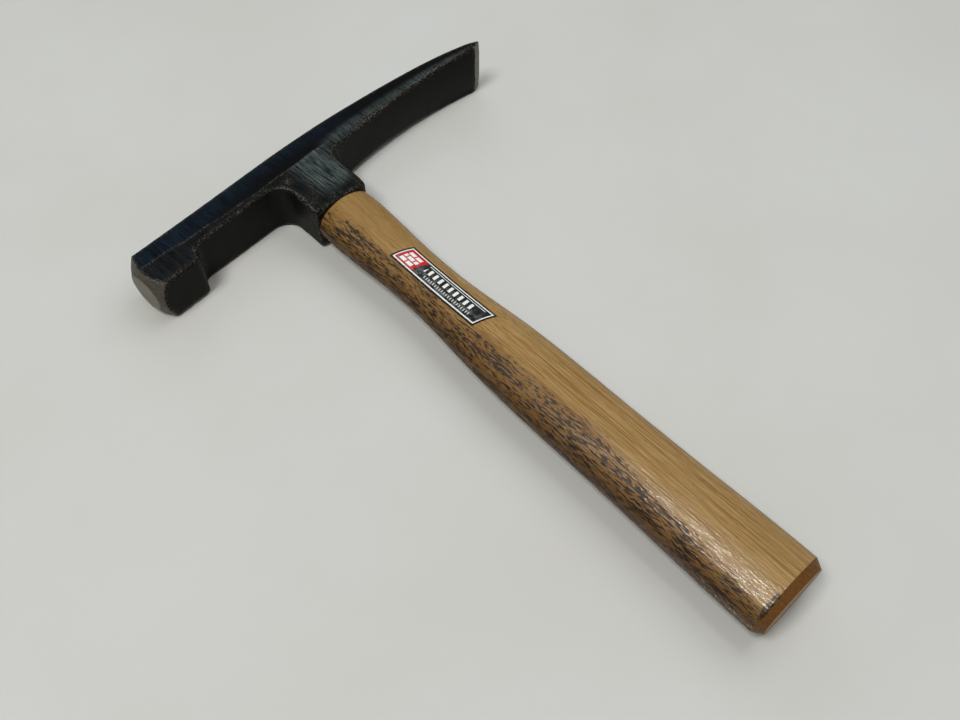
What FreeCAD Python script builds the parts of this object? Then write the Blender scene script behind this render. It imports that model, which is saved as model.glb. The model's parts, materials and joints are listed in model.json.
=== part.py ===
import FreeCAD, Part
import math
import os

import Sketcher

# Brick hammer with a wooden handle, lying on its side.
#
# Workshop frame, in which every piece is drawn, in millimetres:
#   X  along the handle, from the crown of the head (0) to the butt
#   Y  along the head, from the poll (-) to the blade (+)
#   Z  across the head, with 0 on the middle plane of the whole hammer
# The head leans: its straight part is drawn in a frame turned by droop_angle about Z, in which the crown
# is the line across = 0. At the end the whole hammer is laid down with one placement for every piece: it
# is tilted until the poll, the blade and the butt all rest on the ground, and moved so that the origin is
# at the bottom centre of its box.

V = FreeCAD.Vector
STEEL_DENSITY = 7.85e-6  # kg per cubic millimetre, to report what the head weighs

# ---------------------------------------------------------------------------------------------------------
# Driving dimensions
# ---------------------------------------------------------------------------------------------------------

DIMENSIONS = [
    # alias, value in mm or degrees, meaning
    ("overall_length", 292.5, "crown, on the handle's axis, to the end of the butt"),
    # head, side outline, in the leaning frame
    ("droop_angle", 4.9, "how far the straight part of the head leans from square to the handle"),
    ("face_reach", 91.7, "handle axis to the striking face"),
    ("poll_back", 68.0, "handle axis to the back of the square poll"),
    ("poll_depth", 23.1, "square poll, crown to underside"),
    ("neck_depth", 16.2, "neck between poll and eye, crown to underside"),
    ("neck_hollow", 6.0, "hollow between the poll's back and the neck"),
    ("arc_start", 14.0, "where the crown leaves its straight line"),
    ("crown_radius", 272.0, "arc of the crown along the blade"),
    ("blade_reach", 112.4, "handle axis to the cutting edge"),
    ("blade_root_at", 8.0, "start of the blade's underside, along the head"),
    ("blade_root_depth", 19.3, "start of the blade's underside, from the crown line"),
    ("blade_under_radius", 265.0, "arc of the blade's underside"),
    ("blade_tip_thickness", 5.4, "blade just before its ground edge"),
    ("edge_bevel", 5.4, "length of the ground cutting edge"),
    ("edge_set_in", 3.1, "cutting edge, inwards from the crown where the bevel starts"),
    ("edge_flat", 0.5, "thickness left at the cutting edge"),
    # striking face
    ("face_radius", 9.0, "flat part of the striking face"),
    ("face_bevel_angle", 34.6, "cone ground round the striking face, from the face"),
    # socket and eye
    ("socket_depth", 42.6, "crown to the rim of the socket"),
    ("socket_hollow_poll", 8.5, "hollow between the neck and the socket"),
    ("socket_hollow_blade", 5.0, "hollow between the socket and the blade"),
    ("tenon_rim_y", 13.2, "half the tenon at the rim, along the head"),
    ("tenon_rim_z", 9.6, "half the tenon at the rim, across the head"),
    ("tenon_crown_y", 11.2, "half the tenon at the crown, along the head"),
    ("tenon_crown_z", 7.0, "half the tenon at the crown, across the head"),
    ("eye_clearance", 0.05, "gap between the tenon and the eye, all round"),
    ("tenon_proud", 0.4, "how far the tenon stands out of the crown"),
    ("socket_side_wall", 1.6, "socket beside the tenon at the rim, along the head"),
    ("socket_cheek_wall", 2.9, "ridge of the cheeks over the tenon at the eye, across the head"),
    ("crown_round", 1.2, "rounding of the long edges of the crown"),
    # handle
    ("shoulder_step", 0.95, "how far the handle's shoulder stands out round the tenon at the rim"),
    ("butt_chamfer_length", 3.9, "chamfer round the butt, along the handle"),
    ("butt_chamfer_depth", 2.4, "chamfer round the butt, into the handle"),
    ("oval_end_share", 0.84, "end radius of the handle's oval, as a share of its half thickness"),
    # wedges
    ("kerf_width", 1.6, "saw kerf in the tenon"),
    ("kerf_depth", 34.0, "crown to the bottom of the saw kerf"),
    ("wood_wedge_head", 4.6, "wooden wedge, thickness at its head"),
    ("wood_wedge_length", 27.0, "wooden wedge, crown to tip"),
    ("steel_wedge_head", 2.6, "steel wedge, thickness at its head"),
    ("steel_wedge_tip", 0.5, "steel wedge, thickness at its tip"),
    ("steel_wedge_width", 10.0, "steel wedge, width across the wooden one"),
    ("steel_wedge_length", 16.0, "steel wedge, crown to tip"),
    ("steel_wedge_spread", 5.6, "each steel wedge, from the handle's axis"),
    # label
    ("label_start", 80.9, "crown to the label's nearest corner"),
    ("label_length", 52.0, "label along the handle"),
    ("label_width", 10.8, "label across the handle"),
    ("label_rake", 3.9, "how far one long edge is ahead of the other"),
    ("label_middle", 0.0, "middle of the label, from the handle's axis"),
    ("label_turn", -0.3, "how far the label is turned on the handle"),
    ("label_thickness", 0.15, "label stock"),
]

# Sizes that follow from the fit between the tenon and the socket.
FITS = [
    ("socket_half_width", "=tenon_rim_y + socket_side_wall", "half the socket's width along the head"),
]

# Cheeks of the head. At each station the section is a low roof: one plane falls from the ridge to the
# crown, the other from the ridge to the underside. Place along the head, ridge from the crown datum, ridge
# half height, and the two falls in degrees.
CHEEK_STATIONS = [
    ("face", -95.0, 16.9, 11.9, 2.0, 3.5),
    ("poll", -66.0, 16.8, 12.0, 2.2, 3.5),
    ("neck", -38.0, 16.3, 12.3, 2.6, 4.0),
    ("eye", 0.0, 13.3, "=tenon_rim_z + socket_cheek_wall", 3.2, 2.0),
    ("root", 34.0, 10.2, 11.2, 3.2, 4.0),
    ("blade", 72.0, 9.6, 12.2, 3.2, 4.0),
    ("tip", 116.0, 9.8, 13.9, 3.0, 3.0),
]

# Handle behind the socket. Place as a share of the way from the rim to the butt's chamfer, then half the
# width along the head and half the thickness across it.
HANDLE_STATIONS = [
    ("shoulder", 0.0, "=tenon_rim_y + shoulder_step", "=tenon_rim_z + shoulder_step"),
    ("bulge", 0.06, 14.4, 10.6),
    ("waist", 0.2, 12.7, 9.5),
    ("swell", 0.4, 15.3, 11.3),
    ("middle", 0.6, 16.7, 12.2),
    ("palm", 0.8, 17.5, 12.7),
    ("end", 1.0, 18.4, 13.2),
]

CUT_ROOM = 60.0  # room round the piece for shapes that only cut or trim
EYE_ROOM = 10.0  # how far the eye's core stands out of the head at both ends
WEDGE_ROOM = 5.0  # how far outside the crown a wedge is drawn before it is trimmed
CORNER_ROOM = 4.0  # a hollow corner lies this near to the side it belongs to
NEAR = 0.5  # an edge this near to a line lies on it
UPRIGHT = 0.99  # an edge that runs at least this squarely across the head stands upright
ASLANT = 0.5  # an edge that runs less than this squarely across the head runs along it
MEASURE_TOLERANCE = 0.02  # how finely the pieces are measured to lay them down

# The two kinds of wedge, as formulas of the sheet: half thickness at the head and at the tip, half width,
# length, and the wedge's own axes for thickness and width.
WOOD_WEDGE = {
    "head": "Dimensions.wood_wedge_head / 2",
    "tip": "Dimensions.kerf_width / 2",
    "wide": "Dimensions.tenon_rim_y * 2",
    "length": "Dimensions.wood_wedge_length",
    "thick_along": "Z",
    "wide_along": "X",
}
STEEL_WEDGE = {
    "head": "Dimensions.steel_wedge_head / 2",
    "tip": "Dimensions.steel_wedge_tip / 2",
    "wide": "Dimensions.steel_wedge_width / 2",
    "length": "Dimensions.steel_wedge_length",
    "thick_along": "X",
    "wide_along": "Z",
}


def sheet_rows():
    """Every cell of the sheet: alias, value and meaning."""
    rows = DIMENSIONS + FITS
    for name, place, ridge, half, crown_fall, under_fall in CHEEK_STATIONS:
        rows.append((name + "_cheek_at", place, "cheek station, along the head"))
        rows.append((name + "_cheek_ridge", ridge, "its ridge, from the crown datum"))
        rows.append((name + "_cheek_half", half, "its ridge, from the middle plane"))
        rows.append((name + "_crown_fall", crown_fall, "its fall to the crown, degrees"))
        rows.append((name + "_under_fall", under_fall, "its fall to the underside, degrees"))
    for name, share, half_y, half_z in HANDLE_STATIONS:
        rows.append((name + "_share", share, "handle station, from rim to butt chamfer"))
        rows.append((name + "_half_y", half_y, "half its width along the head"))
        rows.append((name + "_half_z", half_z, "half its thickness across the head"))
    for alias in ("lie_axis_x", "lie_axis_y", "lie_angle", "shift_x", "shift_y", "shift_z"):
        rows.append((alias, 0.0, "lays the hammer down; worked out from the finished pieces"))
    return rows


# The cell that holds each value.
CELLS = {row[0]: "B%d" % number for number, row in enumerate(sheet_rows(), start=1)}


def make_sheet(document):
    """Write the driving dimensions into a spreadsheet, one cell with an alias for each."""
    sheet = document.addObject("Spreadsheet::Sheet", "Dimensions")
    for alias, value, meaning in sheet_rows():
        cell = CELLS[alias]
        sheet.set(cell.replace("B", "A"), meaning)
        sheet.set(cell, str(value))
        sheet.setAlias(cell, alias)
    document.recompute()
    return sheet


# ---------------------------------------------------------------------------------------------------------
# Sketch helpers
# ---------------------------------------------------------------------------------------------------------


def new_sketch(body, name, role):
    """An empty sketch on the body's own origin plane with this role, such as XY_Plane."""
    sketch = body.newObject("Sketcher::SketchObject", name)
    plane = [item for item in body.Origin.OriginFeatures if item.Role == role][0]
    sketch.AttachmentSupport = [(plane, "")]
    sketch.MapMode = "FlatFace"
    return sketch


def hold(sketch, kind, references, value, formula):
    """Add one dimension to a sketch and bind it to a formula of the sheet."""
    index = sketch.addConstraint(Sketcher.Constraint(kind, *references, value))
    sketch.setExpression("Constraints[%d]" % index, formula)


def hold_point(sketch, edge, end, place, formulas):
    """Hold one end of an edge at a place given by two formulas, from the sketch's origin."""
    hold(sketch, "DistanceX", (-1, 1, edge, end), place[0], formulas[0])
    hold(sketch, "DistanceY", (-1, 1, edge, end), place[1], formulas[1])


def draw_lines(sketch, places, closed=True):
    """Straight edges from place to place, joined end to end. Returns the first edge's number."""
    first = sketch.GeometryCount
    pairs = list(zip(places, places[1:] + places[:1])) if closed else list(zip(places, places[1:]))
    for start, end in pairs:
        sketch.addGeometry(Part.LineSegment(V(start[0], start[1], 0), V(end[0], end[1], 0)), False)
    count = len(pairs)
    for index in range(count if closed else count - 1):
        following = first + (index + 1) % count
        sketch.addConstraint(Sketcher.Constraint("Coincident", first + index, 2, following, 1))
    return first


def lean(sketch):
    """Turn a sketch on the middle plane into the head's leaning frame."""
    sketch.AttachmentOffset = FreeCAD.Placement(V(0, 0, 0), FreeCAD.Rotation(V(0, 0, 1), 1))
    sketch.setExpression("AttachmentOffset.Rotation.Angle", "Dimensions.droop_angle")


def edges_where(shape, test):
    """Names of the edges whose middle point and direction pass the test."""
    names = []
    for number, edge in enumerate(shape.Edges, start=1):
        middle = edge.valueAt((edge.FirstParameter + edge.LastParameter) / 2)
        tangent = edge.tangentAt((edge.FirstParameter + edge.LastParameter) / 2)
        if test(middle, tangent):
            names.append("Edge%d" % number)
    return names


# ---------------------------------------------------------------------------------------------------------
# Head
# ---------------------------------------------------------------------------------------------------------


def leaning(sheet, point):
    """A point's place in the leaning frame: across from the crown line, and along the head."""
    angle = math.radians(sheet.droop_angle)
    across = point.x * math.cos(angle) + point.y * math.sin(angle)
    along = point.y * math.cos(angle) - point.x * math.sin(angle)
    return across, along


def add_side_outline(body, sheet):
    """The head seen from its cheek, without the socket, as one thick slab."""
    sketch = new_sketch(body, "side_outline", "XY_Plane")
    lean(sketch)
    s = sheet
    bevel_start = s.blade_reach - s.edge_bevel
    sweep = math.asin((bevel_start - s.arc_start) / s.crown_radius)
    crown_end = s.crown_radius * (1 - math.cos(sweep))
    edge_across = crown_end + s.edge_set_in
    tip_under = crown_end + s.blade_tip_thickness
    # Straight edges of the poll and the neck, from the blade's root round to the start of the crown arc.
    places = [
        (s.blade_root_depth, s.blade_root_at),
        (s.neck_depth, 0.0),
        (s.neck_depth, -s.poll_back),
        (s.poll_depth, -s.poll_back),
        (s.poll_depth, -s.face_reach),
        (0.0, -s.face_reach),
        (0.0, s.arc_start),
    ]
    formulas = [
        ("Dimensions.blade_root_depth", "Dimensions.blade_root_at"),
        ("Dimensions.neck_depth", None),
        ("Dimensions.neck_depth", "-Dimensions.poll_back"),
        ("Dimensions.poll_depth", "-Dimensions.poll_back"),
        ("Dimensions.poll_depth", "-Dimensions.face_reach"),
        (None, "-Dimensions.face_reach"),
        (None, "Dimensions.arc_start"),
    ]
    first = draw_lines(sketch, places, closed=False)
    for index, (place, formula) in enumerate(zip(places, formulas)):
        edge, end = (first + index, 1) if index < len(places) - 1 else (first + index - 1, 2)
        if formula[0] is None:
            sketch.addConstraint(Sketcher.Constraint("PointOnObject", edge, end, -2))
        else:
            hold(sketch, "DistanceX", (-1, 1, edge, end), place[0], formula[0])
        if formula[1] is None:
            sketch.addConstraint(Sketcher.Constraint("PointOnObject", edge, end, -1))
        else:
            hold(sketch, "DistanceY", (-1, 1, edge, end), place[1], formula[1])
    straight_crown = first + len(places) - 2
    # Crown arc, tangent to the straight crown.
    centre = V(s.crown_radius, s.arc_start, 0)
    circle = Part.Circle(centre, V(0, 0, 1), s.crown_radius)
    crown_arc = sketch.addGeometry(Part.ArcOfCircle(circle, math.pi - sweep, math.pi), False)
    sketch.addConstraint(Sketcher.Constraint("Tangent", crown_arc, 2, straight_crown, 2))
    hold(sketch, "Radius", (crown_arc,), s.crown_radius, "Dimensions.crown_radius")
    # Ground cutting edge: two bevels and a narrow flat between them.
    bevel = [
        (crown_end, bevel_start),
        (edge_across, s.blade_reach),
        (edge_across + s.edge_flat, s.blade_reach),
        (tip_under, bevel_start),
    ]
    bevel_first = draw_lines(sketch, bevel, closed=False)
    sketch.addConstraint(Sketcher.Constraint("Coincident", crown_arc, 1, bevel_first, 1))
    start_formula = "Dimensions.blade_reach - Dimensions.edge_bevel"
    hold(sketch, "DistanceY", (-1, 1, bevel_first, 1), bevel_start, start_formula)
    hold(sketch, "DistanceX", (bevel_first, 1, bevel_first, 2), s.edge_set_in, "Dimensions.edge_set_in")
    hold(sketch, "DistanceY", (-1, 1, bevel_first, 2), s.blade_reach, "Dimensions.blade_reach")
    hold(sketch, "DistanceX", (bevel_first + 1, 1, bevel_first + 1, 2), s.edge_flat, "Dimensions.edge_flat")
    hold(sketch, "DistanceY", (-1, 1, bevel_first + 1, 2), s.blade_reach, "Dimensions.blade_reach")
    thickness = (bevel_first, 1, bevel_first + 2, 2)
    hold(sketch, "DistanceX", thickness, s.blade_tip_thickness, "Dimensions.blade_tip_thickness")
    hold(sketch, "DistanceY", (-1, 1, bevel_first + 2, 2), bevel_start, start_formula)
    # Underside of the blade, one hollow arc from the bevel back to the root.
    root = V(s.blade_root_depth, s.blade_root_at, 0)
    tip = V(tip_under, bevel_start, 0)
    chord = tip - root
    middle = (root + tip) * 0.5
    outwards = V(chord.y, -chord.x, 0).normalize()
    rise = math.sqrt(s.blade_under_radius**2 - (chord.Length / 2) ** 2)
    hub = middle + outwards * rise
    start_angle = math.atan2(tip.y - hub.y, tip.x - hub.x)
    end_angle = math.atan2(root.y - hub.y, root.x - hub.x) % (2 * math.pi)
    under_circle = Part.Circle(hub, V(0, 0, 1), s.blade_under_radius)
    under_arc = sketch.addGeometry(Part.ArcOfCircle(under_circle, start_angle, end_angle), False)
    sketch.addConstraint(Sketcher.Constraint("Coincident", under_arc, 1, bevel_first + 2, 2))
    sketch.addConstraint(Sketcher.Constraint("Coincident", under_arc, 2, first, 1))
    hold(sketch, "Radius", (under_arc,), s.blade_under_radius, "Dimensions.blade_under_radius")
    pad = body.newObject("PartDesign::Pad", "side_slab")
    pad.Profile = sketch
    pad.Midplane = True
    pad.Length = CUT_ROOM
    return pad


def add_socket_block(body, sheet):
    """The socket's own slab, square to the handle, from inside the neck to the rim."""
    sketch = new_sketch(body, "socket_outline", "XY_Plane")
    half = sheet.socket_half_width
    inside = sheet.neck_depth / 2
    places = [(inside, -half), (sheet.socket_depth, -half), (sheet.socket_depth, half), (inside, half)]
    wide = "Dimensions.socket_half_width"
    deep = "Dimensions.socket_depth"
    root = "Dimensions.neck_depth / 2"
    formulas = [(root, "-" + wide), (deep, "-" + wide), (deep, wide), (root, wide)]
    first = draw_lines(sketch, places)
    for index in range(4):
        hold_point(sketch, first + index, 1, places[index], formulas[index])
    pad = body.newObject("PartDesign::Pad", "socket_slab")
    pad.Profile = sketch
    pad.Midplane = True
    pad.Length = CUT_ROOM
    return pad


def add_hollows(document, body, sheet, base):
    """Round the three hollow corners, each with its own radius."""
    hollows = (
        ("neck_hollow", -sheet.poll_back),
        ("socket_hollow_poll", -sheet.socket_half_width),
        ("socket_hollow_blade", sheet.socket_half_width),
    )
    for alias, place in hollows:
        document.recompute()

        def hollow_corner(middle, tangent, place=place):
            across, along = leaning(sheet, middle)
            upright = abs(tangent.z) > UPRIGHT and abs(middle.z) < NEAR
            inside = NEAR < across < sheet.poll_depth - NEAR
            return upright and inside and abs(along - place) < CORNER_ROOM

        fillet = body.newObject("PartDesign::Fillet", alias)
        fillet.Base = (base, edges_where(base.Shape, hollow_corner))
        fillet.setExpression("Radius", "Dimensions." + alias)
        base = fillet
    return base


def make_cheek_waste(document, sheet):
    """The metal ground off both cheeks: everything above the roof-shaped sections, and its mirror image."""
    sections = []
    for name, *_ in CHEEK_STATIONS:
        cell = "Dimensions." + name
        place, ridge, half = (sheet.get(name + "_cheek_" + size) for size in ("at", "ridge", "half"))
        crown_fall, under_fall = (sheet.get(name + side) for side in ("_crown_fall", "_under_fall"))
        sketch = document.addObject("Sketcher::SketchObject", name + "_cheek")
        sketch.Placement = FreeCAD.Placement(V(0, place, 0), FreeCAD.Rotation(V(1, 0, 0), 90))
        sketch.setExpression("Placement.Base.y", cell + "_cheek_at")
        at_crown = half - (CUT_ROOM + ridge) * math.tan(math.radians(crown_fall))
        at_under = half - (CUT_ROOM - ridge) * math.tan(math.radians(under_fall))
        places = [
            (-CUT_ROOM, at_crown),
            (ridge, half),
            (CUT_ROOM, at_under),
            (CUT_ROOM, CUT_ROOM),
            (-CUT_ROOM, CUT_ROOM),
        ]
        crown_formula = "{0}_cheek_half - ({1} + {0}_cheek_ridge) * tan({0}_crown_fall)"
        under_formula = "{0}_cheek_half - ({1} - {0}_cheek_ridge) * tan({0}_under_fall)"
        formulas = [
            (str(-CUT_ROOM), crown_formula.format(cell, CUT_ROOM)),
            (cell + "_cheek_ridge", cell + "_cheek_half"),
            (str(CUT_ROOM), under_formula.format(cell, CUT_ROOM)),
            (str(CUT_ROOM), str(CUT_ROOM)),
            (str(-CUT_ROOM), str(CUT_ROOM)),
        ]
        first = draw_lines(sketch, places)
        for index in range(len(places)):
            hold_point(sketch, first + index, 1, places[index], formulas[index])
        sections.append(sketch)
    upper = document.addObject("Part::Loft", "upper_cheek_waste")
    upper.Sections = sections
    upper.Solid = True
    lower = document.addObject("Part::Mirroring", "lower_cheek_waste")
    lower.Source = upper
    lower.Normal = V(0, 0, 1)
    return upper, lower


def add_crown_rounds(body, sheet, base_shape):
    """Round the two long edges where the cheeks meet the crown."""

    def crown_edge(middle, tangent):
        across, along = leaning(sheet, middle)
        arc_rise = (max(along, sheet.arc_start) - sheet.arc_start) ** 2 / (2 * sheet.crown_radius)
        on_crown = abs(across - arc_rise) < NEAR
        inside = -sheet.face_reach < along < sheet.blade_reach - sheet.edge_bevel
        lengthwise = abs(middle.z) > NEAR and abs(tangent.z) < ASLANT
        return on_crown and inside and lengthwise

    fillet = body.newObject("PartDesign::Fillet", "crown_round")
    fillet.Base = (body.BaseFeature, edges_where(base_shape, crown_edge))
    fillet.setExpression("Radius", "Dimensions.crown_round")
    return fillet


def add_face_bevel(body, sheet):
    """Turn a cone round the striking face, which cuts the poll's corners deepest."""
    sketch = new_sketch(body, "face_bevel", "XY_Plane")
    lean(sketch)
    half_depth = "Dimensions.poll_depth / 2"
    sketch.setExpression("AttachmentOffset.Base.x", half_depth + " * cos(Dimensions.droop_angle)")
    sketch.setExpression("AttachmentOffset.Base.y", half_depth + " * sin(Dimensions.droop_angle)")
    rise = (CUT_ROOM - sheet.face_radius) * math.tan(math.radians(sheet.face_bevel_angle))
    far = "(%s - Dimensions.face_radius) * tan(Dimensions.face_bevel_angle)" % CUT_ROOM
    face = "-Dimensions.face_reach"
    places = [
        (sheet.face_radius, -sheet.face_reach),
        (CUT_ROOM, -sheet.face_reach),
        (CUT_ROOM, rise - sheet.face_reach),
    ]
    formulas = [("Dimensions.face_radius", face), (str(CUT_ROOM), face), (str(CUT_ROOM), far + face)]
    first = draw_lines(sketch, places)
    for index in range(3):
        hold_point(sketch, first + index, 1, places[index], formulas[index])
    groove = body.newObject("PartDesign::Groove", "face_cone")
    groove.Profile = sketch
    groove.ReferenceAxis = (sketch, ["V_Axis"])
    groove.Angle = 360.0
    return groove


# ---------------------------------------------------------------------------------------------------------
# Ovals and lofts, for the handle and the eye
# ---------------------------------------------------------------------------------------------------------


def oval(sheet, x, half_y, half_z, grow=0.0):
    """A closed oval of four tangent arcs, square to the handle at x."""
    wide = half_y + grow
    thick = half_z + grow
    end = half_z * sheet.oval_end_share + grow
    reach = wide - end
    side = (reach**2 + thick**2 - end**2) / (2 * (thick - end))
    hub = side - thick
    angle = math.atan2(hub, reach)
    tip_y = reach + end * math.cos(angle)
    tip_z = end * math.sin(angle)
    right = Part.Arc(V(x, tip_y, -tip_z), V(x, wide, 0), V(x, tip_y, tip_z))
    top = Part.Arc(V(x, tip_y, tip_z), V(x, 0, thick), V(x, -tip_y, tip_z))
    left = Part.Arc(V(x, -tip_y, tip_z), V(x, -wide, 0), V(x, -tip_y, -tip_z))
    bottom = Part.Arc(V(x, -tip_y, -tip_z), V(x, 0, -thick), V(x, tip_y, -tip_z))
    return Part.Wire([arc.toShape() for arc in (right, top, left, bottom)])


def shape_object(document, name, shape):
    """Hold a shape that is worked out from the sheet."""
    item = document.addObject("Part::Feature", name)
    item.Shape = shape
    return item


def tenon_taper(sheet, places, grow):
    """The tenon's straight taper through two or more places along the handle, grown by a clearance."""
    ovals = []
    for x in places:
        share = x / sheet.socket_depth
        half_y = sheet.tenon_crown_y + share * (sheet.tenon_rim_y - sheet.tenon_crown_y)
        half_z = sheet.tenon_crown_z + share * (sheet.tenon_rim_z - sheet.tenon_crown_z)
        ovals.append(oval(sheet, x, half_y, half_z, grow))
    return Part.makeLoft(ovals, True, True)


def grip(sheet, grow=0.0):
    """The handle from the socket's rim to the chamfer at the butt, and the chamfer."""
    body_end = sheet.overall_length - sheet.butt_chamfer_length
    ovals = []
    for name, *_ in HANDLE_STATIONS:
        share = sheet.get(name + "_share")
        x = sheet.socket_depth + share * (body_end - sheet.socket_depth)
        ovals.append(oval(sheet, x, sheet.get(name + "_half_y"), sheet.get(name + "_half_z"), grow))
    barrel = Part.makeLoft(ovals, True, False)
    last_y = sheet.get(HANDLE_STATIONS[-1][0] + "_half_y")
    last_z = sheet.get(HANDLE_STATIONS[-1][0] + "_half_z")
    cone_ends = [
        oval(sheet, body_end, last_y, last_z, grow),
        oval(sheet, sheet.overall_length, last_y, last_z, grow - sheet.butt_chamfer_depth),
    ]
    return barrel.fuse(Part.makeLoft(cone_ends, True, True)).removeSplitter()


def crown_waste(document, name, proud_formula):
    """A block that trims wood and wedges to a plane just outside the crown."""
    block = document.addObject("Part::Box", name)
    block.Length = CUT_ROOM
    block.Width = CUT_ROOM
    block.Height = CUT_ROOM
    angle = "Dimensions.droop_angle"
    half = CUT_ROOM / 2
    block.setExpression("Placement.Rotation.Angle", angle)
    block.Placement.Rotation.Axis = V(0, 0, 1)
    across = "(%s + %s)" % (CUT_ROOM, proud_formula)
    block.setExpression("Placement.Base.x", "%s * sin(%s) - %s * cos(%s)" % (half, angle, across, angle))
    block.setExpression("Placement.Base.y", "-%s * cos(%s) - %s * sin(%s)" % (half, angle, across, angle))
    block.Placement.Base.z = -half
    return block


def boolean(document, kind, name, base, tool):
    """A Part boolean of two document objects."""
    item = document.addObject("Part::" + kind, name)
    item.Base = base
    item.Tool = tool
    return item


def driven_wedge(document, name, kind, shift):
    """A wedge of one kind that points along +X from outside the crown, with its place on Y as a formula."""
    wedge = document.addObject("Part::Wedge", name)
    # It starts outside the crown, so it is thicker there than at its head, in proportion.
    outside = "(({head} - {tip}) * (1 + {room} / {length}) + {tip})".format(room=WEDGE_ROOM, **kind)
    wedge.setExpression("Ymin", str(-WEDGE_ROOM))
    wedge.setExpression("Ymax", kind["length"])
    wedge.setExpression(kind["thick_along"] + "max", outside)
    wedge.setExpression(kind["thick_along"] + "min", "-" + outside)
    wedge.setExpression(kind["thick_along"] + "2max", kind["tip"])
    wedge.setExpression(kind["thick_along"] + "2min", "-" + kind["tip"])
    for end in ("", "2"):
        wedge.setExpression(kind["wide_along"] + end + "max", kind["wide"])
        wedge.setExpression(kind["wide_along"] + end + "min", "-" + kind["wide"])
    wedge.Placement = FreeCAD.Placement(V(0, 0, 0), FreeCAD.Rotation(V(0, 0, 1), -90))
    wedge.setExpression("Placement.Base.y", shift)
    return wedge


def make_label_prism(document, sheet):
    """The label's raked outline, standing through the handle's upper half."""
    sketch = document.addObject("Sketcher::SketchObject", "label_outline")
    s = sheet
    places = [
        (0.0, 0.0),
        (s.label_length, 0.0),
        (s.label_length + s.label_rake, s.label_width),
        (s.label_rake, s.label_width),
    ]
    long, rake, wide = "Dimensions.label_length", "Dimensions.label_rake", "Dimensions.label_width"
    formulas = [("0", "0"), (long, "0"), (long + " + " + rake, wide), (rake, wide)]
    first = draw_lines(sketch, places)
    sketch.addConstraint(Sketcher.Constraint("Coincident", first, 1, -1, 1))
    sketch.addConstraint(Sketcher.Constraint("PointOnObject", first + 1, 1, -1))
    hold(sketch, "DistanceX", (-1, 1, first + 1, 1), places[1][0], formulas[1][0])
    for index in (2, 3):
        hold_point(sketch, first + index, 1, places[index], formulas[index])
    sketch.Placement = FreeCAD.Placement(V(0, 0, 0), FreeCAD.Rotation(V(0, 0, 1), 1))
    sketch.setExpression("Placement.Rotation.Angle", "Dimensions.label_turn")
    sketch.setExpression("Placement.Base.x", "Dimensions.label_start")
    sketch.setExpression("Placement.Base.y", "Dimensions.label_middle - Dimensions.label_width / 2")
    prism = document.addObject("Part::Extrusion", "label_prism")
    prism.Base = sketch
    prism.DirMode = "Normal"
    prism.LengthFwd = CUT_ROOM
    prism.Solid = True
    return prism


# ---------------------------------------------------------------------------------------------------------
# Pieces
# ---------------------------------------------------------------------------------------------------------


def make_head(document, sheet):
    """The forged head: poll, neck, socket with its through eye, and blade."""
    outline = document.addObject("PartDesign::Body", "head_slab")
    add_side_outline(outline, sheet)
    document.recompute()
    slab = add_socket_block(outline, sheet)
    add_hollows(document, outline, sheet, slab)
    upper, lower = make_cheek_waste(document, sheet)
    half_ground = boolean(document, "Cut", "half_ground_head", outline, upper)
    ground = boolean(document, "Cut", "ground_head", half_ground, lower)
    document.recompute()
    forging = document.addObject("PartDesign::Body", "head_forging")
    forging.BaseFeature = ground
    document.recompute()
    add_crown_rounds(forging, sheet, ground.Shape)
    document.recompute()
    add_face_bevel(forging, sheet)
    document.recompute()
    through = (-EYE_ROOM, sheet.socket_depth, sheet.socket_depth + EYE_ROOM)
    eye_core = shape_object(document, "eye_core", tenon_taper(sheet, through, sheet.eye_clearance))
    return boolean(document, "Cut", "hammer_head", forging, eye_core)


def make_handle_and_wedges(document, sheet):
    """The wooden handle and the wedges that spread its tenon in the eye."""
    to_rim = tenon_taper(sheet, (-EYE_ROOM, sheet.socket_depth), 0.0)
    raw_tenon = shape_object(document, "raw_tenon", to_rim)
    wood_waste = crown_waste(document, "wood_waste", "Dimensions.tenon_proud")
    tenon = boolean(document, "Cut", "tenon", raw_tenon, wood_waste)
    wood_prism = driven_wedge(document, "wood_wedge_prism", WOOD_WEDGE, "0")
    spread = "Dimensions.steel_wedge_spread"
    steel = [
        driven_wedge(document, "poll_steel_wedge", STEEL_WEDGE, "-" + spread),
        driven_wedge(document, "blade_steel_wedge", STEEL_WEDGE, spread),
    ]
    steel_pair = document.addObject("Part::Compound", "steel_pair")
    steel_pair.Links = steel
    steel_wedges = boolean(document, "Cut", "steel_wedges", steel_pair, wood_waste)
    wedge_in_tenon = boolean(document, "Common", "wedge_in_tenon", tenon, wood_prism)
    wood_wedge = boolean(document, "Cut", "wood_wedge", wedge_in_tenon, steel_pair)
    kerf = document.addObject("Part::Box", "kerf")
    kerf.Placement.Base = V(-CUT_ROOM / 2, -CUT_ROOM / 2, 0)
    kerf.Width = CUT_ROOM
    kerf.setExpression("Length", "%s + Dimensions.kerf_depth" % (CUT_ROOM / 2))
    kerf.setExpression("Height", "Dimensions.kerf_width")
    kerf.setExpression("Placement.Base.z", "-Dimensions.kerf_width / 2")
    barrel = shape_object(document, "grip", grip(sheet))
    stock = boolean(document, "Fuse", "stock", tenon, barrel)
    slit = boolean(document, "Cut", "slit_stock", stock, kerf)
    wedged = boolean(document, "Cut", "wedged_stock", slit, wood_prism)
    handle = boolean(document, "Cut", "handle", wedged, steel_pair)
    return handle, wood_wedge, steel_wedges, barrel


def make_label(document, sheet, barrel):
    """A thin label that follows the handle's upper face."""
    prism = make_label_prism(document, sheet)
    skin = shape_object(document, "label_skin", grip(sheet, sheet.label_thickness))
    stamped = boolean(document, "Common", "label_blank", skin, prism)
    return boolean(document, "Cut", "label", stamped, barrel)


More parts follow.
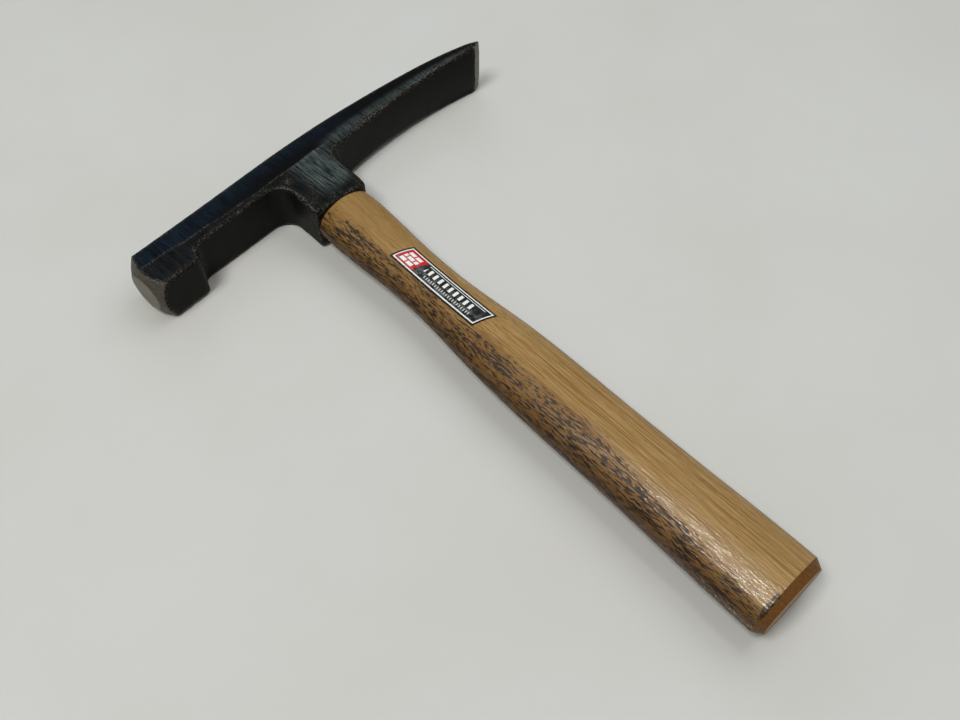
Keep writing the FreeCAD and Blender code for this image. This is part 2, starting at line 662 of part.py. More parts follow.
def check_objects(document):
    """Stop if any object of the document has failed."""
    for item in document.Objects:
        if "Invalid" in item.State or "Error" in item.State:
            raise RuntimeError("%s: %s" % (item.Name, item.State))


def lowest_point(shape, test):
    """The lowest point of a shape among those that pass the test."""
    points = shape.tessellate(MEASURE_TOLERANCE)[0]
    return min((point for point in points if test(point)), key=lambda point: point.z)


def lay_down(document, sheet, pieces, head, handle):
    """Rest the hammer on its poll, its blade and its butt, with the origin at the bottom of its box."""
    poll = lowest_point(head.Shape, lambda point: point.y < -sheet.poll_back)
    blade = lowest_point(head.Shape, lambda point: point.y > sheet.blade_reach / 2)
    butt = lowest_point(handle.Shape, lambda point: point.x > sheet.overall_length / 2)
    ground = (poll - butt).cross(blade - butt).normalize()
    if ground.z < 0:
        ground = -ground
    axis = ground.cross(V(0, 0, 1)).normalize()
    sheet.set(CELLS["lie_axis_x"], str(axis.x))
    sheet.set(CELLS["lie_axis_y"], str(axis.y))
    sheet.set(CELLS["lie_angle"], str(math.degrees(ground.getAngle(V(0, 0, 1)))))
    for piece in pieces:
        piece.setExpression("Placement.Rotation.Axis.x", "Dimensions.lie_axis_x")
        piece.setExpression("Placement.Rotation.Axis.y", "Dimensions.lie_axis_y")
        piece.setExpression("Placement.Rotation.Axis.z", "0")
        piece.setExpression("Placement.Rotation.Angle", "Dimensions.lie_angle")
    document.recompute()
    boxes = [piece.Shape.optimalBoundingBox(False, False) for piece in pieces]
    sheet.set(CELLS["shift_x"], str(-(min(b.XMin for b in boxes) + max(b.XMax for b in boxes)) / 2))
    sheet.set(CELLS["shift_y"], str(-(min(b.YMin for b in boxes) + max(b.YMax for b in boxes)) / 2))
    sheet.set(CELLS["shift_z"], str(-min(b.ZMin for b in boxes)))
    for piece in pieces:
        for axis_name in "xyz":
            piece.setExpression("Placement.Base." + axis_name, "Dimensions.shift_" + axis_name)
    document.recompute()


def main():
    """Make every piece, lay the hammer down and write each piece to its own file."""
    os.makedirs("parts", exist_ok=True)
    document = FreeCAD.newDocument("brick_hammer")
    sheet = make_sheet(document)
    head = make_head(document, sheet)
    handle, wood_wedge, steel_wedges, barrel = make_handle_and_wedges(document, sheet)
    label = make_label(document, sheet, barrel)
    document.recompute()
    pieces = [head, handle, wood_wedge, steel_wedges, label]
    check_objects(document)
    lay_down(document, sheet, pieces, head, handle)
    check_objects(document)
    for piece in pieces:
        if piece.Shape.isNull() or not piece.Shape.isValid():
            raise RuntimeError("%s has no valid shape" % piece.Label)
    for piece in pieces:
        piece.Shape.exportStep(os.path.join("parts", piece.Label + ".step"))
        print("%-13s %d solid(s), %9.1f mm3" % (piece.Label, len(piece.Shape.Solids), piece.Shape.Volume))
    print("head weighs %.3f kg" % (head.Shape.Volume * STEEL_DENSITY))


main()
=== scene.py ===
import json
import logging
import math
from dataclasses import dataclass
from enum import Enum

import bpy
import numpy as np
from mathutils import Matrix, Vector


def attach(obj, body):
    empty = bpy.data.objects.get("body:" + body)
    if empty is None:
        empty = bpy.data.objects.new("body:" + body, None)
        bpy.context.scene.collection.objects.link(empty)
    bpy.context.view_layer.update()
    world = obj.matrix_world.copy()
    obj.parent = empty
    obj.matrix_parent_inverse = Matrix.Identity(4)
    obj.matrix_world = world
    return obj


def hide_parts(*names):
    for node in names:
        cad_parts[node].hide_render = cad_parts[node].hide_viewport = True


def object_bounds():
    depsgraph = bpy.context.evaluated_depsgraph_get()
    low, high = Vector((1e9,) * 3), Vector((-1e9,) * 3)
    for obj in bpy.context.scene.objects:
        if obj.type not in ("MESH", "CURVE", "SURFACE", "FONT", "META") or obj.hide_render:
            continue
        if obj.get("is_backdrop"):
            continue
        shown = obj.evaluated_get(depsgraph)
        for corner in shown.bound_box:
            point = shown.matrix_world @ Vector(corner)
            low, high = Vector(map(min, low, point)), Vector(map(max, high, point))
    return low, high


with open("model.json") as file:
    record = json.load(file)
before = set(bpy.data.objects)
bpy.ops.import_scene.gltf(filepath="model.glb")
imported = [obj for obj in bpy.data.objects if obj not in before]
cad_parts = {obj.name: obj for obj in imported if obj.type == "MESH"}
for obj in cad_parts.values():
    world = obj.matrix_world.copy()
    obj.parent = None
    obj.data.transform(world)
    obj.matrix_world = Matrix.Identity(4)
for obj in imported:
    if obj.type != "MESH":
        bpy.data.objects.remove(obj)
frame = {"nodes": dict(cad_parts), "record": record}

# Brick hammer lying on its side on a pale table. Lengths are metres, and the finishes work in millimetres.
# Two sets of axes are used, both with their origin on the handle's axis where it meets the crown of the head:
#   handle axes  X along the handle to the butt, Y along the head to the blade, Z up across the head
#   head axes    the same, turned about Z so that Y follows the head, which leans a little

LOG = logging.getLogger("brick_hammer")
MM = 0.001
OVERALL_LENGTH = 0.2925

Socket = bpy.types.NodeSocket
Colour = tuple[float, float, float, float]


def shade(red: float, green: float, blue: float) -> Colour:
    """A colour from its display values, as the linear values a shader takes.

    Args:
        red: from 0 to 255.
        green: from 0 to 255.
        blue: from 0 to 255.

    Returns:
        The colour, with an alpha of 1.
    """
    linear = [
        part / 12.92 if part <= 0.04045 else ((part + 0.055) / 1.055) ** 2.4
        for part in (red / 255, green / 255, blue / 255)
    ]
    return (linear[0], linear[1], linear[2], 1.0)


# ---------------------------------------------------------------------------------------------------------
# Axes
# ---------------------------------------------------------------------------------------------------------


@dataclass(frozen=True)
class Axes:
    """An origin and three square axes, in metres, in the frame that every piece shares."""

    origin: Vector
    x: Vector
    y: Vector
    z: Vector

    def matrix(self) -> Matrix:
        """The turn of these axes."""
        return Matrix((self.x, self.y, self.z)).transposed()

    def into(self, points: np.ndarray) -> np.ndarray:
        """Places in the shared frame, told in these axes: the offset from the origin along each axis."""
        return (points - np.array(self.origin)) @ np.array(self.matrix())

    def out(self, points: np.ndarray) -> np.ndarray:
        """Places told in these axes, in the shared frame: the origin plus each axis times its part."""
        return points @ np.array(self.matrix()).T + np.array(self.origin)

    def turned(self, degrees: float) -> "Axes":
        """The same axes turned about their own Z."""
        turn = Matrix.Rotation(math.radians(degrees), 3, self.z)
        return Axes(self.origin, turn @ self.x, turn @ self.y, self.z)

    def moved(self, x: float, y: float, z: float) -> "Axes":
        """The same axes with the origin moved along them, in metres."""
        return Axes(self.origin + self.x * x + self.y * y + self.z * z, self.x, self.y, self.z)


@dataclass(frozen=True)
class HammerAxes:
    """The handle's axes and the head's axes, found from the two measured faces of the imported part."""

    overall_length: float = OVERALL_LENGTH

    def mount(self, name: str) -> tuple[Vector, Vector]:
        """Place and outward direction of one mount.

        Args:
            name: the mount's name in the record.

        Returns:
            Its position and its axis.
        """
        entry = [item for item in frame["record"]["mounts"] if item["name"] == name][0]
        return Vector(entry["pos_m"]), Vector(entry["axis"]).normalized()

    def handle(self) -> Axes:
        """Axes with X from the crown to the butt, and Z square to both handle and head.

        Returns:
            The handle's axes.
        """
        butt, along = self.mount("butt_end")
        to_poll = self.mount("striking_face")[1]
        up = along.cross(-to_poll).normalized()
        return Axes(butt - along * self.overall_length, along, up.cross(along), up)

    def head(self) -> Axes:
        """Axes with Y from the poll to the blade and X from the crown into the handle.

        Returns:
            The head's axes.
        """
        straight = self.handle()
        to_blade = -self.mount("striking_face")[1]
        return Axes(straight.origin, to_blade.cross(straight.z), to_blade, straight.z)

    def face_reach(self) -> float:
        """Distance from the handle's axis to the striking face.

        Returns:
            The distance, along the head.
        """
        place = self.mount("striking_face")[0]
        head = self.head()
        return -(place - head.origin).dot(head.y)


# ---------------------------------------------------------------------------------------------------------
# Shader wiring
# ---------------------------------------------------------------------------------------------------------


class Wiring:
    """Puts down the nodes of one shader tree and joins them."""

    def __init__(self, tree: bpy.types.NodeTree) -> None:
        """Keep the tree that the nodes go into."""
        self.tree = tree

    def feed(self, socket: Socket, value: object) -> None:
        """Join a socket to another, or set its number, vector or colour.

        Args:
            socket: the input to fill.
            value: an output socket or a plain value.
        """
        if isinstance(value, bpy.types.NodeSocket):
            self.tree.links.new(value, socket)
        else:
            socket.default_value = value

    def put(self, kind: str, settings: dict | None = None, **inputs: object) -> bpy.types.Node:
        """Add one node.

        Args:
            kind: the node's type.
            settings: properties of the node itself.
            inputs: values or sockets by input name, with underscores for spaces.

        Returns:
            The new node.
        """
        node = self.tree.nodes.new(kind)
        for name, value in (settings or {}).items():
            setattr(node, name, value)
        for name, value in inputs.items():
            self.feed(node.inputs[name.replace("_", " ")], value)
        return node

    def math(self, operation: str, *terms: object) -> Socket:
        """One step of arithmetic on numbers or sockets.

        Args:
            operation: the Math node's operation.
            terms: up to three numbers or sockets.

        Returns:
            The result.
        """
        node = self.put("ShaderNodeMath", {"operation": operation})
        for socket, term in zip(node.inputs, terms):
            self.feed(socket, term)
        return node.outputs[0]

    def times(self, first: object, *others: object) -> Socket:
        """The product of two or more numbers or sockets.

        Args:
            first: the number or socket that the product starts from.
            others: what it is multiplied by, in order.

        Returns:
            The product.
        """
        product = first
        for other in others:
            product = self.math("MULTIPLY", product, other)
        return product

    def step(self, value: object, low: float, high: float) -> Socket:
        """A smooth rise from 0 at low to 1 at high; it falls instead where high is the smaller.

        Args:
            value: the socket that is measured.
            low: where the result is 0.
            high: where the result is 1.

        Returns:
            The rise.
        """
        ends = {"From_Min": min(low, high), "From_Max": max(low, high)}
        results = {"To_Min": 0.0, "To_Max": 1.0} if low < high else {"To_Min": 1.0, "To_Max": 0.0}
        settings = {"interpolation_type": "SMOOTHSTEP"}
        return self.put("ShaderNodeMapRange", settings, Value=value, **ends, **results).outputs[0]

    def band(self, value: object, low: float, high: float, soft: float) -> Socket:
        """1 between low and high, with soft edges.

        Args:
            value: the socket that is measured.
            low: where the band starts.
            high: where the band ends.
            soft: width of each edge.

        Returns:
            The band.
        """
        rise = self.step(value, low - soft / 2, low + soft / 2)
        fall = self.step(value, high + soft / 2, high - soft / 2)
        return self.times(rise, fall)

    def mix(self, factor: object, first: object, second: object, how: str = "MIX") -> Socket:
        """Two colours mixed by a factor.

        Args:
            factor: 0 for the first, 1 for the second.
            first: a colour or socket.
            second: a colour or socket.
            how: the blend mode.

        Returns:
            The colour.
        """
        node = self.put("ShaderNodeMix", {"data_type": "RGBA", "blend_type": how})
        for socket, value in zip((node.inputs[0], node.inputs[6], node.inputs[7]), (factor, first, second)):
            self.feed(socket, value)
        return node.outputs[2]

    def parts(self, vector: Socket) -> tuple[Socket, Socket, Socket]:
        """The three parts of a vector."""
        node = self.put("ShaderNodeSeparateXYZ", Vector=vector)
        return node.outputs[0], node.outputs[1], node.outputs[2]

    def stretched(self, vector: Socket, x: object, y: object, z: object) -> Socket:
        """A vector with each part multiplied by its own number or socket.

        Args:
            vector: the vector.
            x: factor for its first part.
            y: factor for its second part.
            z: factor for its third part.

        Returns:
            The new vector.
        """
        factors = self.put("ShaderNodeCombineXYZ", X=x, Y=y, Z=z).outputs[0]
        node = self.put("ShaderNodeVectorMath", {"operation": "MULTIPLY"})
        self.feed(node.inputs[0], vector)
        self.feed(node.inputs[1], factors)
        return node.outputs[0]

    def noise(self, vector: Socket, scale: float, detail: float = 3.0, rough: float = 0.5) -> Socket:
        """Cloudy noise between 0 and 1."""
        values = {"Scale": scale, "Detail": detail, "Roughness": rough}
        return self.put("ShaderNodeTexNoise", None, Vector=vector, **values).outputs[0]

    def place(self, axes: Axes) -> Socket:
        """Object coordinates told in these axes, in millimetres.

        Args:
            axes: the axes that the finish follows.

        Returns:
            The place as a vector.
        """
        source = self.put("ShaderNodeTexCoord").outputs["Object"]
        node = self.put("ShaderNodeMapping", {"vector_type": "TEXTURE"}, Vector=source)
        node.inputs["Location"].default_value = axes.origin
        node.inputs["Rotation"].default_value = axes.matrix().to_euler()
        node.inputs["Scale"].default_value = (MM, MM, MM)
        return node.outputs[0]

    def facing(self, direction: Vector) -> Socket:
        """How squarely the surface faces a direction.

        Args:
            direction: the direction, of length 1.

        Returns:
            1 where it faces that way, 0 where it is square to it, -1 where it faces away.
        """
        normal = self.put("ShaderNodeNewGeometry").outputs["Normal"]
        node = self.put("ShaderNodeVectorMath", {"operation": "DOT_PRODUCT"})
        self.feed(node.inputs[0], normal)
        self.feed(node.inputs[1], tuple(direction))
        return node.outputs["Value"]

    def group(self, tree: bpy.types.NodeTree, **inputs: object) -> bpy.types.Node:
        """Place a node group with its own values."""
        return self.put("ShaderNodeGroup", {"node_tree": tree}, **inputs)


class EffectGroup(Enum):
    """The shader groups that more than one finish uses."""

    FINE_LINES = "fine_lines"
    MOTTLE = "mottle"
    WOOD_FIGURE = "wood_figure"


class Effects:
    """Builds each shared shader group once."""

    def __init__(self) -> None:
        """Make every group."""
        self.trees = {
            EffectGroup.FINE_LINES: self.fine_lines(),
            EffectGroup.MOTTLE: self.mottle(),
            EffectGroup.WOOD_FIGURE: self.wood_figure(),
        }

    def open(self, name: EffectGroup, numbers: dict[str, float], results: tuple[str, ...]) -> tuple:
        """Start a group with a Place input, some numbers and some results.

        Args:
            name: which group it is.
            numbers: input names and their usual values.
            results: names of the outputs.

        Returns:
            The wiring, the input node and the output node.
        """
        tree = bpy.data.node_groups.new(name.value, "ShaderNodeTree")
        tree.interface.new_socket(name="Place", in_out="INPUT", socket_type="NodeSocketVector")
        for label, value in numbers.items():
            entry = tree.interface.new_socket(name=label, in_out="INPUT", socket_type="NodeSocketFloat")
            entry.default_value = value
        for label in results:
            tree.interface.new_socket(name=label, in_out="OUTPUT", socket_type="NodeSocketFloat")
        wiring = Wiring(tree)
        return wiring, wiring.put("NodeGroupInput"), wiring.put("NodeGroupOutput")

    def fine_lines(self) -> bpy.types.NodeTree:
        """Belt-ground lines: noise drawn out along X, in two widths, added together.

        Returns:
            The group.
        """
        numbers = {"Width": 0.3, "Length": 12.0}
        wiring, given, result = self.open(EffectGroup.FINE_LINES, numbers, ("Lines",))
        across = wiring.math("DIVIDE", 1.0, given.outputs["Width"])
        along = wiring.math("DIVIDE", 1.0, given.outputs["Length"])
        drawn = wiring.stretched(given.outputs["Place"], along, across, across)
        fine = wiring.noise(drawn, 1.0, 3.0, 0.7)
        coarse = wiring.noise(drawn, 0.31, 1.0, 0.5)
        total = wiring.math("MULTIPLY_ADD", fine, 0.75, wiring.times(coarse, 0.25))
        wiring.feed(result.inputs["Lines"], wiring.step(total, 0.4, 0.62))
        return wiring.tree

    def mottle(self) -> bpy.types.NodeTree:
        """Uneven patches: noise of one size, lifted to full contrast between two levels.

        Returns:
            The group.
        """
        numbers = {"Size": 6.0, "Level": 0.5, "Softness": 0.2}
        wiring, given, result = self.open(EffectGroup.MOTTLE, numbers, ("Amount",))
        scale = wiring.math("DIVIDE", 1.0, given.outputs["Size"])
        patch = wiring.noise(given.outputs["Place"], scale, 4.0, 0.6)
        above = wiring.math("SUBTRACT", patch, given.outputs["Level"])
        ratio = wiring.math("DIVIDE", above, given.outputs["Softness"])
        clear = wiring.math("ADD", ratio, 0.5)
        wiring.feed(result.inputs["Amount"], wiring.step(clear, 0.0, 1.0))
        return wiring.tree

    def wood_figure(self) -> bpy.types.NodeTree:
        """Ring-porous wood with its grain along X and its rings square to Y.

        The ring number is the distance across the rings plus a slow wander along the grain. Pores are
        flecks of drawn-out noise, thick on the coarse side, which starts at one place on Y and draws back
        in a straight line past one place on X. Lines are longer and finer noise, all over.

        Returns:
            The group.
        """
        numbers = {"Ring Width": 2.4, "Coarse Edge": -3.6, "Coarse Turn": 205.0}
        results = ("Rings", "Pores", "Lines", "Fibre", "Coarse")
        wiring, given, result = self.open(EffectGroup.WOOD_FIGURE, numbers, results)
        place = given.outputs["Place"]
        x, y, z = wiring.parts(place)
        wander = wiring.noise(wiring.stretched(place, 0.012, 0.05, 0.05), 1.0, 2.0)
        bend = wiring.times(wiring.math("SUBTRACT", wander, 0.5), 9.0)
        across = wiring.math("ADD", wiring.math("MULTIPLY_ADD", x, 0.012, y), bend)
        curve = wiring.times(z, z, 0.012)
        number = wiring.math("DIVIDE", wiring.math("ADD", across, curve), given.outputs["Ring Width"])
        phase = wiring.math("FRACT", number)
        early = wiring.times(wiring.step(phase, 0.0, 0.25), wiring.step(phase, 1.0, 0.45))
        which = wiring.put("ShaderNodeTexWhiteNoise", {"noise_dimensions": "1D"})
        wiring.feed(which.inputs["W"], wiring.math("FLOOR", number))
        rings = wiring.times(early, wiring.math("MULTIPLY_ADD", which.outputs["Value"], 0.7, 0.3))
        past = wiring.math("MAXIMUM", wiring.math("SUBTRACT", x, given.outputs["Coarse Turn"]), 0.0)
        edge = wiring.math("MULTIPLY_ADD", past, -0.11, given.outputs["Coarse Edge"])
        ragged = wiring.noise(wiring.stretched(place, 0.035, 0.3, 0.3), 1.0, 3.0)
        depth = wiring.math("SUBTRACT", edge, y)
        depth = wiring.math("MULTIPLY_ADD", wiring.math("SUBTRACT", ragged, 0.5), 8.0, depth)
        coarse = wiring.step(depth, -1.0, 4.5)
        fleck = wiring.noise(wiring.stretched(place, 0.3, 1.9, 1.9), 1.0, 2.0, 0.5)
        bunch = wiring.noise(wiring.stretched(place, 0.05, 0.5, 0.5), 1.0, 1.5)
        crowd = wiring.math("MULTIPLY_ADD", wiring.math("SUBTRACT", bunch, 0.5), 0.45, -0.22)
        crowd = wiring.math("MULTIPLY_ADD", coarse, 0.27, crowd)
        pores = wiring.step(wiring.math("ADD", fleck, crowd), 0.5, 0.62)
        fine = wiring.noise(wiring.stretched(place, 0.013, 1.5, 1.5), 1.0, 3.0, 0.65)
        lines = wiring.step(wiring.math("MULTIPLY_ADD", coarse, 0.05, fine), 0.48, 0.66)
        fibre = wiring.noise(wiring.stretched(place, 0.06, 3.0, 3.0), 1.0, 3.0, 0.6)
        for label, value in zip(results, (rings, pores, lines, fibre, coarse)):
            wiring.feed(result.inputs[label], value)
        return wiring.tree


# ---------------------------------------------------------------------------------------------------------
# Finishes
# ---------------------------------------------------------------------------------------------------------


def new_material(name: str) -> tuple[bpy.types.Material, Wiring, bpy.types.Node]:
    """An empty node material with one Principled shader.

    Args:
        name: the finish's name.

    Returns:
        The material, its wiring and its shader node.
    """
    material = bpy.data.materials.new(name)
    material.use_nodes = True
    wiring = Wiring(material.node_tree)
    return material, wiring, material.node_tree.nodes["Principled BSDF"]


@dataclass(frozen=True)
class LacqueredWood:
    """Ring-porous hardwood, stained a little and lacquered, with darker ends and painted shade on its sides
    and underside.
    """

    name: str = "handle_wood"
    light: Colour = shade(178, 147, 96)
    warm: Colour = shade(140, 108, 60)
    coarse: Colour = shade(116, 80, 32)
    pore: Colour = shade(24, 9, 0)
    chamfer: Colour = shade(98, 62, 24)
    end_grain: Colour = shade(150, 118, 84)
    smudge: Colour = shade(22, 13, 6)
    # painted shade, laid where the wood faces away from up
    painted_shade: Colour = shade(78, 50, 16)
    roughness: float = 0.19
    specular: float = 0.22

    def make(self, effects: Effects, axes: Axes, chamfer_at: float, end_at: float) -> bpy.types.Material:
        """Build the finish.

        Args:
            effects: the shared groups.
            axes: the handle's axes.
            chamfer_at: where the butt's chamfer starts, in millimetres along the handle.
            end_at: where the butt ends.

        Returns:
            The material.
        """
        material, wiring, shader = new_material(self.name)
        place = wiring.place(axes)
        x = wiring.parts(place)[0]
        figure = wiring.group(effects.trees[EffectGroup.WOOD_FIGURE], Place=place)
        patch = wiring.group(effects.trees[EffectGroup.MOTTLE], Place=place, Size=18.0, Softness=0.35)
        under = wiring.step(wiring.facing(axes.z), 0.85, 0.2)
        on_chamfer = wiring.step(x, chamfer_at - 0.25, chamfer_at + 0.1)
        on_end = wiring.step(x, end_at - 0.35, end_at - 0.1)
        pores = wiring.times(figure.outputs["Pores"], wiring.step(x, chamfer_at, chamfer_at - 0.4))
        tone = self.long_grain(wiring, x, figure, patch.outputs["Amount"])
        # Painted shade: the sides and underside, facing away from up, are darkened.
        tone = wiring.mix(wiring.times(under, 0.7), tone, self.painted_shade)
        tone = wiring.mix(on_chamfer, tone, self.cut_chamfer(wiring, place))
        tone = wiring.mix(on_end, tone, self.sawn_end(wiring, place))
        tone = wiring.mix(wiring.times(pores, 0.93), tone, self.pore)
        stain = self.tool_line(wiring, place, chamfer_at)
        tone = wiring.mix(wiring.times(stain, 0.85), tone, self.smudge)
        wiring.feed(shader.inputs["Base Color"], tone)
        scuffed = wiring.step(wiring.noise(wiring.stretched(place, 0.2, 1.7, 1.7), 1.0, 3.0), 0.44, 0.56)
        dull = wiring.math("MULTIPLY_ADD", wiring.math("MAXIMUM", pores, scuffed), 0.3, self.roughness)
        dull = wiring.math("MULTIPLY_ADD", on_chamfer, 0.15, dull)
        wiring.feed(shader.inputs["Roughness"], dull)
        sanded = wiring.noise(wiring.stretched(place, 0.14, 0.9, 0.9), 1.0, 4.0, 0.6)
        hollow = wiring.math("MULTIPLY_ADD", pores, -0.3, wiring.times(sanded, 1.3))
        bump = wiring.put("ShaderNodeBump", None, Strength=0.6, Distance=0.00035, Height=hollow)
        wiring.feed(shader.inputs["Normal"], bump.outputs[0])
        shader.inputs["Specular IOR Level"].default_value = self.specular
        return material

    def long_grain(self, wiring: Wiring, x: Socket, figure: bpy.types.Node, patch: Socket) -> Socket:
        """The tone along the handle: light wood with darker rings, lines and coarse side.

        Args:
            wiring: where the nodes go.
            x: millimetres along the handle.
            figure: the wood figure's node.
            patch: uneven patches, from 0 to 1.

        Returns:
            The tone.
        """
        tone = wiring.mix(wiring.step(figure.outputs["Fibre"], 0.3, 0.7), self.light, self.warm)
        for label, share in (("Rings", 0.22), ("Lines", 0.75), ("Coarse", 0.8)):
            tone = wiring.mix(wiring.times(figure.outputs[label], share), tone, self.coarse)
        tone = wiring.mix(wiring.times(patch, 0.22), tone, self.warm)
        return wiring.mix(wiring.times(wiring.step(x, 130.0, 50.0), 0.55), tone, self.warm)

    def cut_chamfer(self, wiring: Wiring, place: Socket) -> Socket:
        """The orange-brown tone of the butt's chamfer, which is cut rough."""
        cut = wiring.noise(wiring.stretched(place, 0.3, 1.4, 1.4), 1.0, 4.0, 0.7)
        return wiring.mix(wiring.step(cut, 0.4, 0.75), self.chamfer, self.coarse)

    def sawn_end(self, wiring: Wiring, place: Socket) -> Socket:
        """The end grain's tone, with small open pores."""
        dots = wiring.step(wiring.noise(wiring.stretched(place, 0.2, 3.2, 3.2), 1.0, 1.0), 0.56, 0.66)
        return wiring.mix(wiring.times(dots, 0.55), self.end_grain, self.coarse)

    def tool_line(self, wiring: Wiring, place: Socket, chamfer_at: float) -> Socket:
        """The dark line that a tool left along the chamfer's inner edge, on the coarse side only.

        Args:
            wiring: where the nodes go.
            place: the place along, across and up, in millimetres.
            chamfer_at: where the chamfer starts.

        Returns:
            How dark the line is, from 0 to 1.
        """
        x, y, z = wiring.parts(place)
        ragged = wiring.noise(wiring.stretched(place, 0.5, 0.6, 0.6), 1.0, 3.0)
        line = wiring.math("ADD", x, wiring.times(wiring.math("SUBTRACT", ragged, 0.5), 3.0))
        stain = wiring.band(line, chamfer_at - 1.3, chamfer_at + 0.25, 0.7)
        return wiring.times(stain, wiring.band(y, -16.5, -7.0, 2.5), wiring.step(z, -2.0, 3.0))


@dataclass(frozen=True)
class WedgeWood:
    """Plain pale wedge wood, unfinished, with fine straight grain."""

    name: str = "wedge_wood"
    light: Colour = shade(206, 180, 132)
    dark: Colour = shade(168, 134, 86)
    roughness: float = 0.62

    def make(self, effects: Effects, axes: Axes) -> bpy.types.Material:
        """Build the finish.

        Args:
            effects: the shared groups.
            axes: the handle's axes.

        Returns:
            The material.
        """
        material, wiring, shader = new_material(self.name)
        place = wiring.place(axes)
        figure = wiring.group(effects.trees[EffectGroup.WOOD_FIGURE], Place=place)
        figure.inputs["Ring Width"].default_value = 1.1
        figure.inputs["Coarse Edge"].default_value = -60.0
        tone = wiring.mix(figure.outputs["Rings"], self.light, self.dark)
        tone = wiring.mix(wiring.times(figure.outputs["Pores"], 0.6), tone, self.dark)
        wiring.feed(shader.inputs["Base Color"], tone)
        bump = wiring.put("ShaderNodeBump", None, Strength=0.3, Distance=0.0002)
        wiring.feed(bump.inputs["Height"], figure.outputs["Fibre"])
        wiring.feed(shader.inputs["Normal"], bump.outputs[0])
        shader.inputs["Roughness"].default_value = self.roughness
        return material


@dataclass(frozen=True)
class HeadZones:
    """Where things are on the head: the place in millimetres, and masks from 0 to 1."""

    place: Socket
    cheek: Socket
    handle_side: Socket
    ridge: Socket
    lines: Socket


